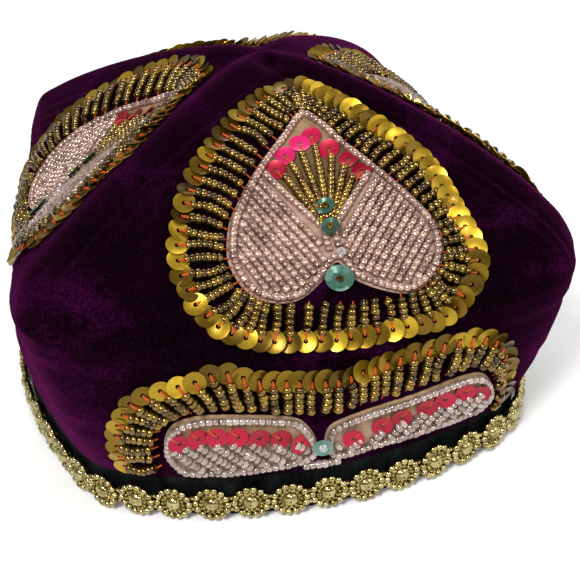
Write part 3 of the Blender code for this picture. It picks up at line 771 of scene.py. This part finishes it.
def glass_beads(name, colours, metallic, roughness, coat, clear=0.0):
    """Lined glass: a tint for each bead, and a faint ripple in its gloss."""
    dark, light = colours
    shades = Shades(
        name, Metallic=metallic, Coat_Weight=coat, Coat_Roughness=0.03, IOR=1.5, Transmission_Weight=clear
    )
    shades.colour(shades.ramp(shades.tint(), (0.0, dark), (1.0, light)))
    ripple = shades.noise(900, 2)
    shades.rough(shades.math("MULTIPLY_ADD", ripple, 0.1, roughness - 0.03))
    shades.bump(ripple, 0.00008, 0.5)
    return shades.material


def foil(name, stops, metallic, roughness):
    """Pressed foil of the sequins: a tint for each, with faint scratches."""
    shades = Shades(name, Metallic=metallic, Coat_Weight=0.08, Coat_Roughness=0.12, Specular_IOR_Level=0.25)
    worn = shades.noise(700, 3, (1, 1, 1), 0.6)
    faded = shades.math("MULTIPLY", worn, 0.15)
    shades.colour(shades.mix(faded, shades.ramp(shades.tint(), *stops), stops[0][1]))
    shades.rough(shades.math("MULTIPLY_ADD", worn, 0.25, roughness - 0.1))
    shades.bump(worn, 0.00006, 0.5)
    return shades.material


def thread_material():
    shades = Shades("Orange thread", Roughness=0.7, Specular_IOR_Level=0.2)
    twist = shades.noise(2200, 1)
    shades.colour(shades.mix(twist, (0.26, 0.03, 0.004), (0.52, 0.09, 0.014)))
    shades.bump(twist, 0.0001, 0.6)
    return shades.material


def pad_cloth():
    """Backing cloth: tan at a heart's tip, rosy under its beads and olive under its fan."""
    shades = Shades("Backing cloth", Roughness=0.85, Sheen_Weight=0.15)
    weave = shades.noise(1300, 2)
    stain = shades.noise(180, 3)
    base = shades.ramp(
        shades.tint(), (0.0, (0.34, 0.21, 0.16)), (0.5, (0.27, 0.17, 0.085)), (1.0, (0.1, 0.058, 0.012))
    )
    aged = shades.ramp(stain, (0.35, (0.72, 0.68, 0.62)), (0.65, (1.15, 1.12, 1.1)))
    shades.colour(shades.mix(1.0, base, aged, "MULTIPLY"))
    shades.bump(weave, 0.0003, 0.7)
    return shades.material


def gilt_material():
    shades = Shades("Pale gilt", Metallic=1.0)
    worn = shades.noise(420, 3)
    shades.colour(shades.ramp(worn, (0.35, (0.24, 0.19, 0.065)), (0.62, (0.5, 0.42, 0.19))))
    shades.rough(shades.math("MULTIPLY_ADD", worn, 0.16, 0.1))
    shades.bump(worn, 0.0001, 0.4)
    return shades.material


def floor_material():
    shades = Shades("Floor", Roughness=0.7)
    paper = shades.noise(3, 2)
    shades.colour(shades.ramp(paper, (0.3, (0.86, 0.86, 0.86)), (0.7, (0.88, 0.88, 0.88))))
    return shades.material


def velvet_gore(name, degrees, material):
    """A quarter of the crown with its half of each piped seam, carried over the fold on to the wall."""
    angle = math.radians(degrees)

    def place(u, v, w):
        level = BAND_TOP_LEVEL + (TOP_LEVEL - BAND_TOP_LEVEL) * v
        from_edge = (1 - np.abs(2 * u - 1)) ** GORE_CROWDING
        turn = np.sign(u - 0.5) * (1 - from_edge) * np.pi / 4
        lift = relief(angle + turn, level) * w
        return cloth_point(angle + turn, level, CLOTH_THICKNESS * (1 - w) - lift)

    points, faces = slab(place, GORE_COLUMNS, GORE_ROWS_UP)
    gore = add_piece(f"{name}_velvet", points, faces, material, (f"gore_{name}",), sharp=60)


def velvet_wall(material):
    def place(u, v, w):
        angle = 2 * np.pi * u
        _, fold_height = fold_at(angle)
        lowest = RIM_BAND_HEIGHT / fold_height
        level = lowest + (BAND_TOP_LEVEL - lowest) * v
        lift = relief(angle, level) * w * smooth_step(v, 0, 0.1)
        return cloth_point(angle, level, CLOTH_THICKNESS * (1 - w) - lift)

    points, faces = slab(place, WALL_COLUMNS, WALL_ROWS, ring=True)
    wall = add_piece("velvet_wall", points, faces, material, ("side_band",), sharp=60)


def black_rim(material):
    """The black strip under the wall. Its outer side hangs straight down, which thickens its foot."""

    def place(u, v, w):
        angle = 2 * np.pi * u
        _, fold_height = fold_at(angle)
        rolled = HEM_ROLL * (1 - smooth_step(v, 0, 0.12)) * w
        ripple = HEM_RIPPLE * np.sin(46 * angle) * w * smooth_step(v, 0.1, 0.5)
        tucked = HEM_TUCK * smooth_step(v, 0.86, 1) * w
        level = RIM_BAND_HEIGHT * v / fold_height
        point = cloth_point(angle, level, CLOTH_THICKNESS * (1 - w) + rolled + tucked - ripple)
        hang = cap_point(angle, np.maximum(level, HEM_HANG_HEIGHT / fold_height)) - cap_point(angle, level)
        hang[..., 2] = 0
        return point + hang * w[..., None]

    points, faces = slab(place, RIM_COLUMNS, RIM_ROWS, ring=True)
    rim = add_piece("black_velvet_rim", points, faces, material, ("rim_band",), sharp=60)


def pad(name, patch, outline, zone, material, columns=96, rows=16):
    """The cloth that a motif is beaded on. zone(spots) gives its tint."""
    middle = outline.mean(axis=0)
    numbers, shares = np.arange(len(outline) + 1), np.arange(columns) / columns * len(outline)
    closed = np.concatenate([outline, outline[:1]])
    edge = np.stack([np.interp(shares, numbers, closed[:, axis]) for axis in (0, 1)], axis=-1)

    def spots_of(u, v):
        number = np.round(u * columns).astype(int) % columns
        return middle + (edge[number] - middle) * (0.02 + 0.98 * v[..., None])

    def place(u, v, w):
        top = PAD_TOP - PAD_ROLL * smooth_step(v, 0.93, 1)
        return patch.lay(spots_of(u, v), PAD_FLOOR + (top - PAD_FLOOR) * w)

    points, faces = slab(place, columns, rows, ring=True)
    u, v = np.meshgrid(np.arange(columns) / columns, np.linspace(0, 1, rows + 1), indexing="ij")
    tints = np.tile(zone(spots_of(u, v)).reshape(-1), 2)
    return add_piece(name, points, faces, material, tints=tints, sharp=60)


def lay_beads(pile, patch, template, spots, ways, lift, seed, size=0.05, wobble=4.0):
    """Adds a bead at each spot, each a little off the next in size, turn and height."""
    count = len(spots)
    if not count:
        return
    lifts = lift + seed.normal(0, 0.07, count)
    at, columns = patch.frames(spots, ways, lifts)
    sizes = 1 + seed.normal(0, size, (count, 1, 1))
    pile.add(template, at, columns @ turns(seed, count, wobble) * sizes, seed.random(count))


def lay_discs(pile, patch, template, spots, ways, lift, seed, tints, shingle=0.0, wobble=3.0):
    """Adds a sequin at each spot, facing out, with one edge raised on the next one."""
    count = len(spots)
    at, columns = patch.frames(spots, ways, lift + seed.normal(0, 0.06, count))
    side, normal, along = (columns[..., k] for k in range(3))
    lean = np.radians(np.broadcast_to(shingle, count))[:, None]
    facing = unit(normal * np.cos(lean) - along * np.sin(lean))
    ahead = unit(np.cross(side, facing)) * -1
    flat = np.stack([ahead, np.cross(facing, ahead), facing], axis=-1)
    pile.add(template, at, flat @ turns(seed, count, wobble), tints)


def bead_border(pile, patch, outline, lift, seed):
    """A row of pink beads just inside a closed outline."""
    spots, ways = patch.steps(shrunk(outline, PINK_RADIUS * 0.9), PINK_PITCH, closed=True)
    lay_beads(pile, patch, bead_template(PINK_RADIUS, PINK_LENGTH), spots, ways, lift, seed)


def rows_inside(patch, allowed, direction, centre, reach, pitch, row_pitch):
    """Spots and ways of straight rows of beads that fill the allowed ground."""
    way = np.array([math.sin(math.radians(direction)), -math.cos(math.radians(direction))])
    aside = np.array([-way[1], way[0]])
    spots, ways = [], []
    for row in range(-int(reach / row_pitch), int(reach / row_pitch) + 1):
        samples = np.arange(-reach, reach, 0.25)
        line = np.array(centre) + aside * row * row_pitch + way * samples[:, None]
        keep = allowed(line)
        edges = np.flatnonzero(np.diff(np.concatenate([[0], keep.astype(int), [0]])))
        for start, end in zip(edges[::2], edges[1::2]):
            if end - start < 3:
                continue
            found, ahead = patch.steps(line[start:end], pitch)
            spots.append(found)
            ways.append(ahead)
    return np.concatenate(spots), np.concatenate(ways)


def fan_angle(spots):
    """Degrees from straight up, and distance, of each spot from the base of the fan."""
    off = spots - np.array(FAN_BASE)
    return np.degrees(np.arctan2(off[..., 0], -off[..., 1])), np.hypot(off[..., 0], off[..., 1])


def fan_spot(degrees, distance):
    turn = np.radians(degrees)
    return np.stack(
        [FAN_BASE[0] + np.sin(turn) * distance, FAN_BASE[1] - np.cos(turn) * distance], axis=-1
    )


def heart_outline():
    return smooth_curve(HEART_ROWS, np.linspace(0, 1, 480, endpoint=False))


def heart_zone(spots):
    """Tint of the pad at each spot: olive under the fan, tan at the tip, rosy elsewhere."""
    degrees, distance = fan_angle(spots)
    in_fan = (degrees > FAN_EDGES[0]) & (degrees < FAN_EDGES[1])
    return np.where(in_fan, np.where(distance < FAN_GROUND_REACH, 1.0, 0.5), 0.0)


def lobe_ground(outline, side, edge):
    """A test for the ground of one lobe that its rows may fill, clear of border, fan and cleft."""

    def allowed(spots):
        degrees, distance = fan_angle(spots)
        off = np.radians((degrees - edge) * side)
        clear_of_fan = np.where(off < np.pi / 2, distance * np.sin(off), distance) > FAN_CLEARANCE
        clear_of_fan &= degrees * side > abs(edge)
        cleft = np.interp(spots[:, 1], [row[1] for row in CLEFT], [row[0] for row in CLEFT])
        clear_of_cleft = ((spots[:, 0] - cleft) * side > CLEFT_CLEARANCE) | (spots[:, 1] < FAN_BASE[1])
        clear_of_edge = nearest(spots, outline)[0] > EDGE_CLEARANCE
        return inside(spots, outline) & clear_of_edge & clear_of_fan & clear_of_cleft

    return allowed


def heart_rows(pile, patch, outline, seed):
    """The border of pink beads, then the inner edge and the straight rows of each lobe."""
    bead = bead_template(PINK_RADIUS, PINK_LENGTH)
    bead_border(pile, patch, outline, PINK_LIFT + 0.15, seed)
    for side, edge, reach in zip((-1, 1), FAN_EDGES, FAN_EDGE_REACHES):
        edge_line = fan_spot(edge + side * 2.5, np.linspace(reach, 2.5, 40))
        cleft = np.array(CLEFT) + [side * 1.5, 0.0]
        path = np.concatenate([edge_line, cleft])
        keep = inside(path, outline) & (nearest(path, outline)[0] > FAN_CLEARANCE)
        inner, ways = patch.steps(path[keep], PINK_PITCH)
        lay_beads(pile, patch, bead, inner, ways, PINK_LIFT + 0.1, seed)
        allowed = lobe_ground(outline, side, edge)
        centre = fan_spot(edge + side * 40, 14.0)
        spots, ways = rows_inside(patch, allowed, edge, centre, 60, PINK_PITCH, PINK_ROW_PITCH)
        lay_beads(pile, patch, bead, spots, ways, PINK_LIFT, seed)


def heart_fan(name, patch, gold, sequins, threads, seed):
    """Strands of gold beads that spread from the fan's base to a row of red sequins."""
    strand_bead = bead_template(FAN_GOLD_RADIUS, GOLD_LENGTH)
    for degrees, reach in FAN_STRANDS:
        path = fan_spot(degrees, np.linspace(FAN_START, reach, 40))
        spots, ways = patch.steps(path, GOLD_PITCH)
        lay_beads(gold, patch, strand_bead, spots, ways, PAD_TOP + 1.05, seed)
    degrees, distance, red = np.array(FAN_SEQUINS).T
    red = np.maximum(red, FAN_REDNESS[name])
    spots = fan_spot(degrees, distance)
    ways = np.stack([np.cos(np.radians(degrees)), np.sin(np.radians(degrees))], -1)
    template = sequin_template(PINK_SEQUIN_RADIUS)
    lay_discs(sequins, patch, template, spots, ways, PAD_TOP + 0.5, seed, red, shingle=10.0, wobble=5.0)
    inner = fan_spot(degrees, distance - 3.6)
    add_stitches(threads, patch, spots, inner, (PAD_TOP + 0.4, PAD_TOP + 1.1, PAD_TOP + 0.9), seed)


def heart_cups(patch, gold, cups, big, seed):
    """Two small cups on the fan's foot and the large six-sided one below the notch, each under a bead."""
    ways = np.tile([[1.0, 0.0]], (2, 1))
    small = sequin_template(SMALL_CUP_RADIUS, SMALL_CUP_DISH)
    tints = 0.35 * seed.random(2)
    lay_discs(cups, patch, small, np.array(SMALL_CUPS), ways, SMALL_CUP_LIFT, seed, tints, shingle=6.0)
    bead_on_end(gold, patch, SMALL_CUPS, 0.3, SMALL_CUP_BEAD_LIFT, CUP_BEAD_SIZE, seed.random(2))
    large = sequin_template(CUP_RADIUS, CUP_DISH, facets=6)
    lay_discs(big, patch, large, np.array([CUP_PLACE]), ways[:1], CUP_LIFT, seed, np.array([0.4]))
    bead_on_end(gold, patch, [CUP_PLACE], 0.3, CUP_BEAD_LIFT, CUP_BEAD_SIZE, seed.random(1))


def heart_motif(name, patch, looks, seed):
    """A heart of bead rows round a fan, on its pad. The order of the calls sets the random draws."""
    outline = heart_outline()
    pad(f"{name}_heart_pad", patch, shrunk(outline, -PAD_BORDER), heart_zone, looks["pad"])
    pink, gold, sequins, threads, cups, big, clear = (Pile() for _ in range(7))
    heart_rows(pink, patch, outline, seed)
    heart_fan(name, patch, gold, sequins, threads, seed)
    heart_cups(patch, gold, cups, big, seed)
    bead_on_end(clear, patch, [CLEAR_BEAD], 0.2, CLEAR_BEAD_LIFT, CLEAR_BEAD_SIZE, np.array([1.0]))
    pink.piece(f"{name}_heart_beads", looks["pink"], "heart_beads", (f"{name}_heart",))
    gold.piece(f"{name}_fan_beads", looks["fan_gold"], "gold_beadwork")
    sequins.piece(f"{name}_fan_sequins", looks["pink_foil"], "heart_beads", sharp=35)
    threads.piece(f"{name}_fan_threads", looks["thread"], "gold_beadwork")
    cups.piece(f"{name}_small_cups", looks["green_foil"], "cup_sequin", sharp=20)
    big.piece(f"{name}_large_cup", looks["green_foil"], "cup_sequin", (f"{name}_cup",), sharp=12)
    clear.piece(f"{name}_clear_bead", looks["clear"], "heart_beads")


def bead_on_end(pile, patch, spots, slope, lift, size, tints):
    """Adds a bead at each spot with its hole facing out. size is its radius and length."""
    at, columns = patch.frames(spots, np.tile([[1.0, slope]], (len(spots), 1)), lift)
    pile.add(bead_template(*size), at, columns[..., [2, 0, 1]], tints)


def add_stitches(pile, patch, starts, ends, lifts, seed):
    """Threads from one row of spots to another, through three heights."""
    shares = np.linspace(0, 1, 6)
    count = len(starts)
    spots = starts[:, None] + (ends - starts)[:, None] * shares[None, :, None]
    lift = np.interp(shares, (0, 0.5, 1), lifts)[None] + seed.normal(0, 0.04, (count, 1))
    lines = patch.lay(spots, np.broadcast_to(lift, spots.shape[:2]))
    normals = unit(patch.lay(spots, 1.0) - patch.lay(spots, 0.0))
    pile.add_tubes(lines, normals, THREAD_RADIUS, seed.random(count))


def fringe(name, patch, inner, outer, pitches, bead_radius, looks, seed, nodes):
    """Spokes of gold beads from the inner spots out to a row of sequins, each tied with thread."""
    ways = unit(outer - inner)
    lengths = np.linalg.norm(outer - inner, axis=1)
    centres = outer - ways * SEQUIN_RADIUS
    beads, discs, threads = Pile(), Pile(), Pile()
    template = bead_template(bead_radius, GOLD_LENGTH)
    ends_in, ends_out = [], []
    for spot, way, length in zip(inner, ways, lengths):
        start = np.interp(length, FRINGE_WIDTHS, SPOKE_STARTS) + seed.uniform(-0.4, 0.8)
        end = length - SEQUIN_RADIUS - seed.uniform(1.9, 2.9)
        shares = np.linspace(0, 1, 24)[:, None]
        aside = np.array([-way[1], way[0]]) * seed.normal(0, 0.5)
        path = spot + way * (start + (end - start) * shares) + aside * np.sin(np.pi * shares)
        spots, steps = patch.steps(path, GOLD_PITCH)
        rise = GOLD_LIFT + 0.45 * np.sin(np.linspace(0.3, np.pi - 0.3, len(spots)))
        lay_beads(beads, patch, template, spots, steps, rise, seed, size=0.06, wobble=7.0)
        ends_in.append(spots[0])
        ends_out.append(spots[-1])
    around = np.stack([ways[:, 1], -ways[:, 0]], axis=-1)
    tints = np.clip(seed.normal(0.5, 0.27, len(outer)) + 0.2 * np.sin(0.9 * np.arange(len(outer))), 0, 1)
    shingle = TILT_SHARES[name] * np.interp(pitches, SHINGLE_PITCHES, SHINGLE_DEGREES)
    lift = SEQUIN_LIFT + SEQUIN_RADIUS * 0.7 * np.sin(np.radians(np.abs(shingle)))
    template = sequin_template(SEQUIN_RADIUS)
    lay_discs(discs, patch, template, centres, around, lift, seed, tints, shingle, wobble=8.0)
    inner_lifts = (GOLD_LIFT, 1.0, 0.25)
    add_stitches(threads, patch, np.array(ends_in), inner - ways * 0.2, inner_lifts, seed)
    for aside in (-0.35, 0.35):
        ends = np.array(ends_out) + around * aside
        add_stitches(threads, patch, centres, ends, (lift.mean(), 1.75, GOLD_LIFT + 0.2), seed)
    beads.piece(f"{name}_spoke_beads", looks["gold"], "gold_beadwork", nodes)
    discs.piece(f"{name}_sequins", looks["gold_foil"], "gold_beadwork", sharp=35)
    threads.piece(f"{name}_threads", looks["thread"], "gold_beadwork")


def smoothed(values, passes):
    """Evens out a closed row of spots."""
    for _ in range(passes):
        values = (np.roll(values, 1, axis=0) + 2 * values + np.roll(values, -1, axis=0)) / 4
    return values


def heart_ring(name, patch, looks, seed):
    ring = smooth_curve(RING_ROWS, np.linspace(0, 1, 900, endpoint=False))
    outer, pitches = patch.uneven_steps(ring, RING_PITCHES, closed=True)
    rows = HEART_ROWS[:NOTCH_START] + NOTCH_BRIDGE_ROWS + HEART_ROWS[NOTCH_END:]
    bridged = smooth_curve(rows, np.linspace(0, 1, 900, endpoint=False))
    _, found = nearest(outer, bridged)
    inner = smoothed(bridged[found], 3)
    fringe(name, patch, inner, outer, pitches, GOLD_RADIUS, looks, seed, (f"{name}_fringe",))


def brow_ring(patch, looks, seed):
    edges = smooth_curve(BROW_ROWS, np.linspace(0.01, 0.99, 700), closed=False)
    spots, pitches = patch.uneven_steps(edges[:, 2:], BROW_PITCHES)
    _, found = nearest(spots, edges[:, 2:])
    inner = edges[found, :2]
    fringe("brow", patch, inner, spots, pitches, BROW_GOLD_RADIUS, looks, seed, ("brow_fringe",))


def leaf_zone(spots):
    """Tint of the pad at each spot: tan behind the red sequins, rosy below them."""
    return np.where(spots[..., 1] < LEAF_TAN_DEPTH, 0.5, 0.2)


def leaf_motif(side, patch, looks, seed):
    """A long leaf: a bead border, a row of red sequins, and slanting strands of clear beads."""
    way = -1 if side == "left" else 1
    outline = smooth_curve(LEAF_ROWS[side], np.linspace(0, 1, 480, endpoint=False))
    pad(f"brow_pad_{side}", patch, shrunk(outline, -LEAF_PAD_BORDER), leaf_zone, looks["pad"])
    beads, discs, threads = Pile(), Pile(), Pile()
    bead_border(beads, patch, outline, PINK_LIFT + 0.3, seed)
    if side == "left":
        path = smooth_curve(MIDDLE_BORDER, np.linspace(0, 1, 40), closed=False)
        middle, ways = patch.steps(path, PINK_PITCH)
        bead = bead_template(PINK_RADIUS, PINK_LENGTH)
        lay_beads(beads, patch, bead, middle, ways, PINK_LIFT + 0.6, seed)

    spots = np.array(LEAF_SEQUINS[side])
    count = len(spots)
    ways = np.tile([[1.0 * way, 0.0]], (count, 1))
    template = sequin_template(PINK_SEQUIN_RADIUS)
    tints = 0.55 + 0.45 * seed.random(count)
    lay_discs(discs, patch, template, spots, ways, PAD_TOP + 1.3, seed, tints, shingle=14.0, wobble=4.0)
    lifts = (PAD_TOP + 1.1, PAD_TOP + 1.9, PAD_TOP + 1.1)
    add_stitches(threads, patch, spots, spots + [2.2 * way, -2.6], lifts, seed)

    tops = np.array(LEAF_STRAND_TOPS[side])

    def allowed(spots_here):
        under = spots_here[:, 1] > np.interp(spots_here[:, 0], tops[:, 0], tops[:, 1])
        return inside(spots_here, outline) & under & (nearest(spots_here, outline)[0] > LEAF_CLEARANCE)

    strand = bead_template(STRAND_RADIUS, GOLD_LENGTH)
    strands, ways = rows_inside(
        patch, allowed, way * LEAF_STRAND_DEGREES, outline.mean(axis=0), 45, STRAND_PITCH, STRAND_ROW_PITCH
    )
    lay_beads(beads, patch, strand, strands, ways, PINK_LIFT + 0.4, seed, size=0.06, wobble=6.0)
    beads.piece(f"brow_beads_{side}", looks["rose"], "heart_beads", (f"brow_leaf_{side}",))
    discs.piece(f"brow_red_sequins_{side}", looks["pink_foil"], "heart_beads", sharp=35)
    threads.piece(f"brow_red_threads_{side}", looks["thread"], "gold_beadwork")


def brow_centre(patch, looks, seed):
    """The green sequin between the leaves, held by a clear bead."""
    cup, clear = Pile(), Pile()
    spot = np.array([BROW_CUP_PLACE])
    template = sequin_template(BROW_CUP_RADIUS, BROW_CUP_DISH)
    way, tint = np.array([[1.0, 0.0]]), np.array([0.7])
    lay_discs(cup, patch, template, spot, way, BROW_CUP_LIFT, seed, tint, shingle=5.0)
    bead_on_end(clear, patch, spot, 0.2, BROW_BEAD_LIFT, BROW_BEAD_SIZE, np.array([1.0]))
    cup.piece("brow_green_sequin", looks["green_foil"], "cup_sequin", ("brow_cup",), sharp=20)
    clear.piece("brow_clear_bead", looks["clear"], "heart_beads")


def rosette_seat(angle):
    """Centre and facing of a rosette that stands upright, just clear of the wall behind its edge."""
    edge = np.linspace(0, 2 * np.pi, 16, endpoint=False)
    around = np.append(0.0, ROSETTE_RADIUS * np.cos(edge) / RIM_HALF_LENGTH) + angle
    heights = np.append(0.0, ROSETTE_RADIUS * np.sin(edge)) + ROSETTE_CENTRE_HEIGHT
    _, fold_height = fold_at(around)
    wall = cap_point(around, heights / fold_height)
    facing = outward(around[:1], heights[:1] / fold_height[:1])[0]
    facing[2] = 0
    facing = unit(facing)
    return wall[0] + facing * (((wall - wall[0]) @ facing).max() + ROSETTE_LIFT), facing


def trim_seats(shift):
    """Seats at equal steps along the line of the rosettes' centres, from a share of one step."""
    angles = np.linspace(0, 2 * np.pi, 241)
    line = np.array([rosette_seat(angle)[0] for angle in angles])
    distance = np.concatenate([[0], np.cumsum(np.linalg.norm(np.diff(line, axis=0), axis=1))])
    steps = (np.arange(ROSETTE_COUNT) + shift) / ROSETTE_COUNT * distance[-1]
    seats = [rosette_seat(angle) for angle in np.interp(steps, distance, angles)]
    return (np.array(part) for part in zip(*seats))


def ring_places(count, radius, height):
    """Evenly spaced places on a ring about Z."""
    turn = np.arange(count) * 2 * np.pi / count
    return np.stack([radius * np.cos(turn), radius * np.sin(turn), np.full_like(turn, height)], -1)


def rosette_shapes():
    """Each kind of shape in a rosette, with its places and sizes in the rosette's own frame, facing +Z."""
    steps = np.linspace(0, np.pi / 2 * 0.93, 6)
    dome = [(0.05, 0.2), (DOME_RADIUS, 0.2)] + [
        (DOME_RADIUS * math.cos(s), 1.2 + DOME_HEIGHT * math.sin(s) * 0.8) for s in steps
    ]
    plate = [
        (0.05, 0.1), (ROSETTE_BACK_RADIUS, 0.1), (ROSETTE_BACK_RADIUS, 0.9), (3.9, 1.1), (3.7, 1.4),
        (2.8, 1.4), (2.6, 1.2), (0.05, 1.2),
    ]
    middle = np.zeros((1, 3))
    return (
        (ball_template(PETAL_RADIUS, 10, 5), ring_places(ROSETTE_PETALS, PETAL_RING, PETAL_HEIGHT)),
        (ball_template(INNER_RADIUS, 6, 3), ring_places(INNER_BEADS, INNER_RING, INNER_HEIGHT)),
        (turned_template(dome, DOME_SIDES), middle),
        (turned_template(plate, 28), middle),
    )


def upright_columns(facing):
    along = unit(np.cross([0.0, 0.0, 1.0], facing))
    return np.stack([along, np.cross(facing, along), facing], axis=-1)


def trim(looks, seed):
    """The chain of rosettes round the rim, with small beads that link each to the next."""
    pile = Pile()
    at, facing = trim_seats(0.0)
    at = at + np.array([0.0, 0.0, 1.0]) * np.clip(seed.normal(0, 0.2, (ROSETTE_COUNT, 1)), -0.3, 0.4)
    columns = upright_columns(facing) @ turns(seed, ROSETTE_COUNT, 2.0)
    for template, places in rosette_shapes():
        spots = (np.einsum("kij,nj->kni", columns, places) + at[:, None]).reshape(-1, 3)
        pile.add(template, spots, np.repeat(columns, len(places), axis=0), 0.5)
    link, facing = trim_seats(0.5)
    for rise in (-LINK_RISE, LINK_RISE):
        spots = link + [0.0, 0.0, rise] + facing * LINK_LIFT
        pile.add(ball_template(LINK_RADIUS, 8, 3), spots, upright_columns(facing), 0.5)
    pile.piece("rosette_chain", looks["gilt"], "gilt_trim", ("rosette_trim",), sharp=33)


def make_camera():
    """The camera at the photograph's angle."""
    yaw, rise, roll = (math.radians(a) for a in (CAMERA_YAW, CAMERA_RISE, CAMERA_ROLL))
    back = Vector((math.sin(yaw) * math.cos(rise), -math.cos(yaw) * math.cos(rise), math.sin(rise)))
    right = Vector((math.cos(yaw), math.sin(yaw), 0.0))
    up = back.cross(right)
    image_right = right * math.cos(roll) + up * math.sin(roll)
    image_up = up * math.cos(roll) - right * math.sin(roll)
    target = right * CAMERA_AIM_ACROSS + Vector((0.0, 0.0, CAMERA_AIM_UP))
    data = bpy.data.cameras.new("Camera")
    data.lens, data.sensor_width = CAMERA_LENS, SENSOR
    data.clip_start, data.clip_end = 0.01, 100.0
    camera = bpy.data.objects.new("Camera", data)
    bpy.context.scene.collection.objects.link(camera)
    turn = Matrix((image_right, image_up, back)).transposed().to_4x4()
    camera.matrix_world = Matrix.Translation((target + back * CAMERA_DISTANCE) * MM + Vector(SHIFT)) @ turn
    bpy.context.scene.camera = camera


def area_light(name, place, aim, size, power):
    data = bpy.data.lights.new(name, "AREA")
    data.size, data.energy = size, power
    light = bpy.data.objects.new(name, data)
    bpy.context.scene.collection.objects.link(light)
    light.location = place
    light.rotation_mode = "QUATERNION"
    light.rotation_quaternion = (Vector(aim) - Vector(place)).to_track_quat("-Z", "Y")


def make_studio():
    """A pale floor, a pale sky and soft lights."""
    mesh = bpy.data.meshes.new("Floor")
    half = FLOOR_HALF_SIZE
    corners = [(-half, -half, 0), (half, -half, 0), (half, half, 0), (-half, half, 0)]
    mesh.from_pydata(corners, [], [(0, 1, 2, 3)])
    mesh.materials.append(floor_material())
    floor = bpy.data.objects.new("Floor", mesh)
    bpy.context.scene.collection.objects.link(floor)
    world = bpy.data.worlds.new("Studio")
    world.use_nodes = True
    world.node_tree.nodes["Background"].inputs["Color"].default_value = (1.0, 1.0, 1.0, 1.0)
    world.node_tree.nodes["Background"].inputs["Strength"].default_value = SKY_STRENGTH
    bpy.context.scene.world = world
    for light in LIGHTS:
        area_light(*light)
    bpy.context.scene.view_settings.view_transform = "Standard"
    bpy.context.scene.view_settings.look = "None"


def make_looks():
    return {
        "velvet": purple_velvet(),
        "black": black_velvet(),
        "pink": glass_beads("Silver-lined pink glass", PINK_GLASS, 0.45, 0.1, 0.9),
        "rose": glass_beads("Clear pink glass", CLEAR_PINK, 0.12, 0.05, 1.0, 0.6),
        "gold": glass_beads("Gold-lined glass", BROWN_GOLD, 0.85, 0.16, 0.45),
        "fan_gold": glass_beads("Bright gold-lined glass", BRIGHT_GOLD, 0.85, 0.16, 0.45),
        "clear": glass_beads("Clear glass", CLEAR_GLASS, 0.0, 0.05, 0.6, 0.8),
        "gold_foil": foil("Gold foil", GOLD_FOIL, 0.8, 0.32),
        "pink_foil": foil("Pink foil", PINK_FOIL, 0.3, 0.32),
        "green_foil": foil("Green foil", GREEN_FOIL, 0.35, 0.22),
        "thread": thread_material(),
        "pad": pad_cloth(),
        "gilt": gilt_material(),
    }


def dress():
    looks = make_looks()
    velvet_wall(looks["velvet"])
    black_rim(looks["black"])
    for number, (name, degrees, *placing) in enumerate(GORE_ROWS):
        seed = np.random.default_rng(HEART_SEED + number)
        velvet_gore(name, degrees, looks["velvet"])
        patch = Patch(degrees, *placing)
        heart_motif(name, patch, looks, seed)
        heart_ring(name, patch, looks, seed)
    brow = Patch(270.0)
    seed = np.random.default_rng(BROW_SEED)
    for side in ("left", "right"):
        leaf_motif(side, brow, looks, seed)
    brow_ring(brow, looks, seed)
    brow_centre(brow, looks, seed)
    trim(looks, np.random.default_rng(TRIM_SEED))


make_camera()
make_studio()
dress()
